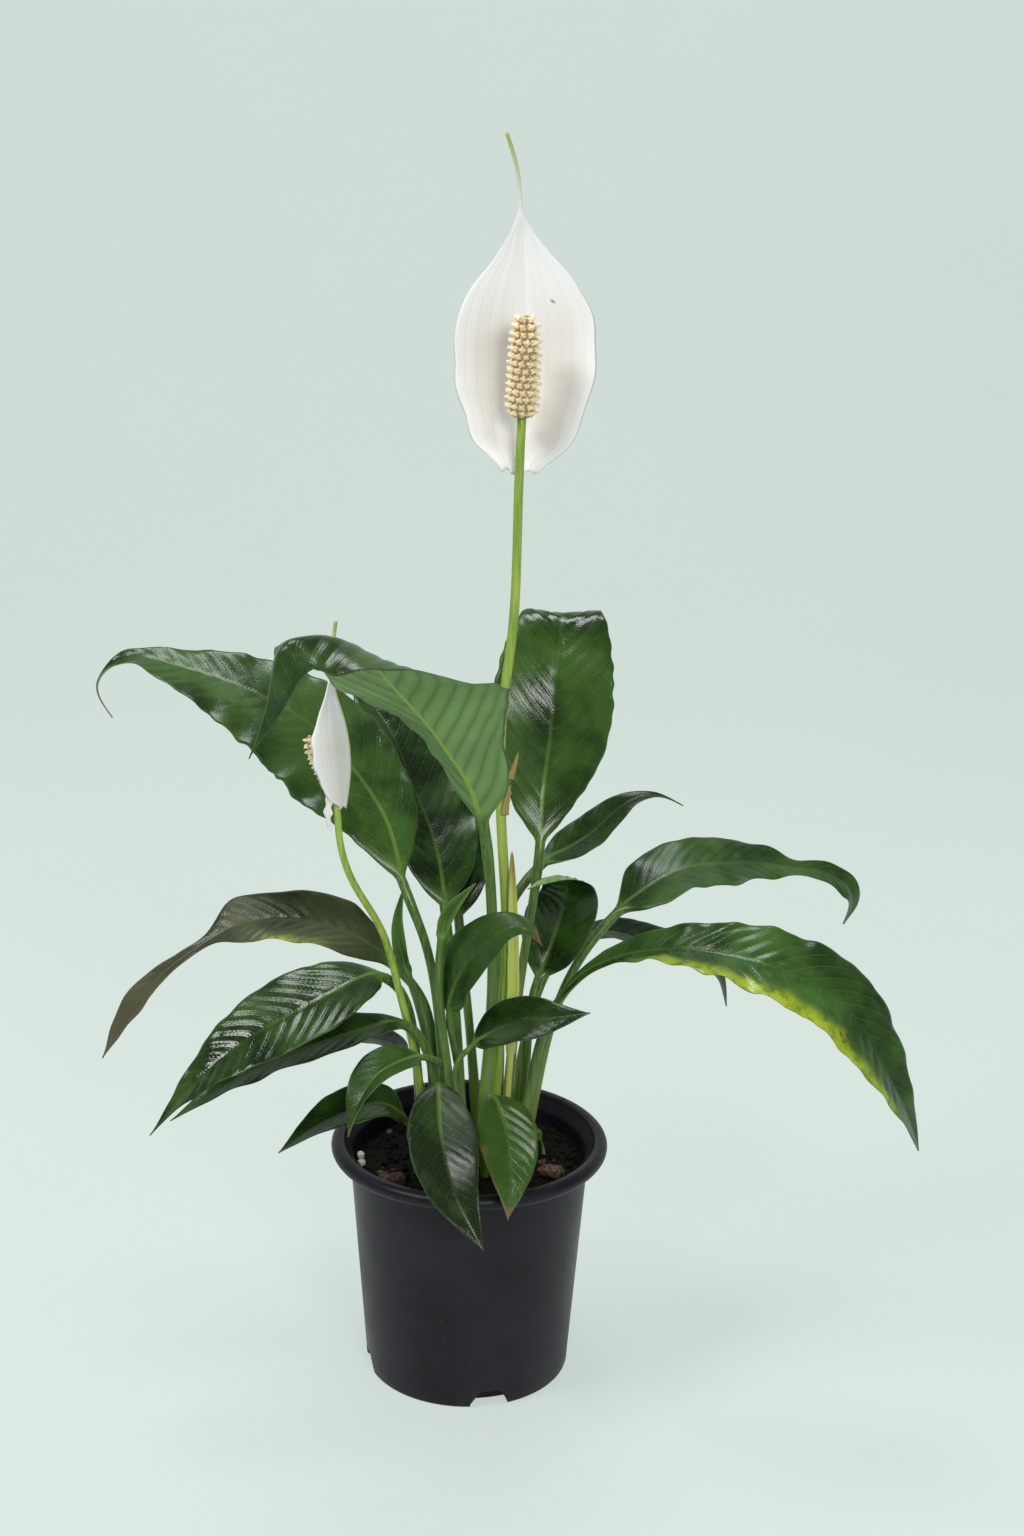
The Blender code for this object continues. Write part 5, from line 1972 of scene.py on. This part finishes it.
@dataclass
class Studio:
    """A plain pale sweep, soft lights and the camera."""

    backdrop: Colour = (0.651, 0.737, 0.694)
    matt: float = 0.35
    glow: float = 0.745
    camera_at: Point = (0.0183, -1.040, 0.632)
    pitch: float = 16.7
    roll: float = 1.0
    lens: float = 52.69

    def build(self) -> None:
        """Make the floor, the light and the camera."""
        self.floor()
        self.lights()
        self.camera()

    def floor(self) -> None:
        """Make the floor, which sweeps up behind the plant."""
        profile = [(-3.0, 0.0), (1.4, 0.0)]
        bend = np.linspace(0.1, math.pi / 2, 14)
        profile += [(1.4 + 0.8 * math.sin(a), 0.8 - 0.8 * math.cos(a)) for a in bend]
        profile.append((2.2, 3.4))
        verts = [(x, y, z) for y, z in profile for x in (-4.0, 4.0)]
        faces = [(2 * i, 2 * i + 1, 2 * i + 3, 2 * i + 2) for i in range(len(profile) - 1)]
        mesh = bpy.data.meshes.new("sweep")
        mesh.from_pydata(verts, [], faces)
        mesh.shade_smooth()
        nodes = Coat("sweep_paint")
        grain = nodes.noise(nodes.spot, 5.0, 2.0)
        tint = tuple(channel * 0.985 for channel in self.backdrop)
        dim = tuple(channel * self.matt for channel in self.backdrop)
        paint = nodes.mix(grain, dim, tuple(channel * 0.97 for channel in dim))
        nodes.put(nodes.shader["Emission Color"], nodes.mix(grain, self.backdrop, tint))
        nodes.shader["Emission Strength"].default_value = self.glow
        mesh.materials.append(nodes.done(paint, 0.9, None, 0.1))
        sweep = bpy.data.objects.new("sweep", mesh)
        bpy.context.scene.collection.objects.link(sweep)

    def lights(self) -> None:
        """Make the soft lights and the even surrounding light."""
        world = bpy.data.worlds.new("surround")
        world.use_nodes = True
        background = world.node_tree.nodes["Background"]
        background.inputs["Color"].default_value = (1.0, 1.0, 1.0, 1.0)
        background.inputs["Strength"].default_value = 0.26
        bpy.context.scene.world = world
        panels = [
            ("key", (-1.1, -0.7, 1.8), (0.0, 0.0, 0.25), 0.55, 17.0, (1.0, 0.99, 0.97)),
            ("front", (0.6, -1.9, 1.2), (0.0, 0.0, 0.4), 0.7, 18.0, (1.0, 1.0, 1.0)),
            ("top", (-0.1, 0.2, 1.75), (0.0, 0.0, 0.25), 0.5, 10.0, (0.95, 0.98, 1.0)),
        ]
        for name, spot, aim, size, power, colour in panels:
            light = bpy.data.lights.new(name, "AREA")
            light.shape = "SQUARE"
            light.size = size
            light.energy = power
            light.color = colour
            lamp = bpy.data.objects.new(name, light)
            lamp.location = spot
            lamp.rotation_euler = (Vector(aim) - Vector(spot)).to_track_quat("-Z", "Y").to_euler()
            bpy.context.scene.collection.objects.link(lamp)

    def camera(self) -> None:
        """Make the camera, tipped down and rolled a little."""
        pitch, roll = math.radians(self.pitch), math.radians(self.roll)
        ahead = Vector((0.0, math.cos(pitch), -math.sin(pitch)))
        level = Vector((1.0, 0.0, 0.0))
        above = level.cross(ahead)
        right = level * math.cos(roll) + above * math.sin(roll)
        up = above * math.cos(roll) - level * math.sin(roll)
        data = bpy.data.cameras.new("camera")
        data.sensor_width = 36.0
        data.lens = self.lens
        camera = bpy.data.objects.new("camera", data)
        turn = Matrix((right, up, -ahead)).transposed().to_4x4()
        camera.matrix_world = Matrix.Translation(Vector(self.camera_at)) @ turn
        bpy.context.scene.collection.objects.link(camera)
        bpy.context.scene.camera = camera


def make_effects() -> None:
    """Make the shader effects that the finishes share."""
    make_mottle()
    make_veins()
    make_fibres()
    make_dust()


def main() -> None:
    """Build the potted plant and the studio round it."""
    logging.basicConfig(level=logging.INFO, format="%(name)s %(message)s")
    make_effects()
    Studio().build()
    pot_finish = PotFinish("pot_plastic").material()
    bark_finish = BarkFinish("bark").material()
    Pot().build(pot_finish)
    Soil().build(SoilFinish("peat").material(), bark_finish)
    Litter().build(bark_finish, PerliteFinish("perlite").material())
    Foliage(LEAF_FINISHES, LEAVES).build()
    Seedling().build(LEAF_FINISHES[Slot.LEAF_PALE].material())
    sheath = SheathFinish("dry_sheath").material()
    sheath_leaf = LeafShape(
        "sheath_leaf", 3.2, SHEATH_STALK, SHEATH_BLADE, [(-0.2, -1, 0), (-0.2, -1, 0)],
        folds=(25, 25), shoulder=0.3, taper=0.5, stalk_radius=1.5,
        look=LeafLook(Slot.SHEATH, quilt=0.1, wave=0.5, scorch=(0.8, 0.8)),
    )
    SpentSheath(sheath_leaf).build(sheath)
    stem = StemFinish("flower_stem").material()
    white = SpatheFinish("spathe_white").material()
    cream = SpadixFinish("spadix_cream").material()
    foot = FlowerStem("tall_stem", "flower_stem_tall", TALL_STEM, 2.1).build(stem)
    Spadix("tall_spadix", "spadix_tall", foot, (0.02, -0.05, 1.0), 47.0, 7.9, 14, 10).build(cream)
    Spathe(
        "tall_spathe", "spathe_tall", TALL_SPATHE, TALL_SPATHE_FACES, 33.0, 0.25, speck=(0.505, 13.2)
    ).build(white)
    foot = FlowerStem("low_stem", "flower_stem_low", LOW_STEM, 2.1 * 0.75).build(stem)
    Spadix("low_spadix", "spadix_low", foot, (-0.42, 0.0, 1.0), 22.0, 4.8, 8, 8).build(cream)
    Spathe(
        "low_spathe", "spathe_low", LOW_SPATHE, LOW_SPATHE_FACES, 21.0, 0.6, wave=1.0, columns=31
    ).build(white)
    Spathe(
        "low_spathe_strip", "spathe_low", LOW_STRIP, [(-0.4, -1, 0), (-0.2, -1, 0)], 2.4, 0.0,
        widths=(0.1, 0.7, 0.45, 1.0, 0.55, 0.9, 0.8, 0.3), tail_radius=0.35, rings=50, columns=13,
    ).build(white)
    bpy.context.scene.view_settings.view_transform = "Standard"


if __name__ == "__main__":
    main()
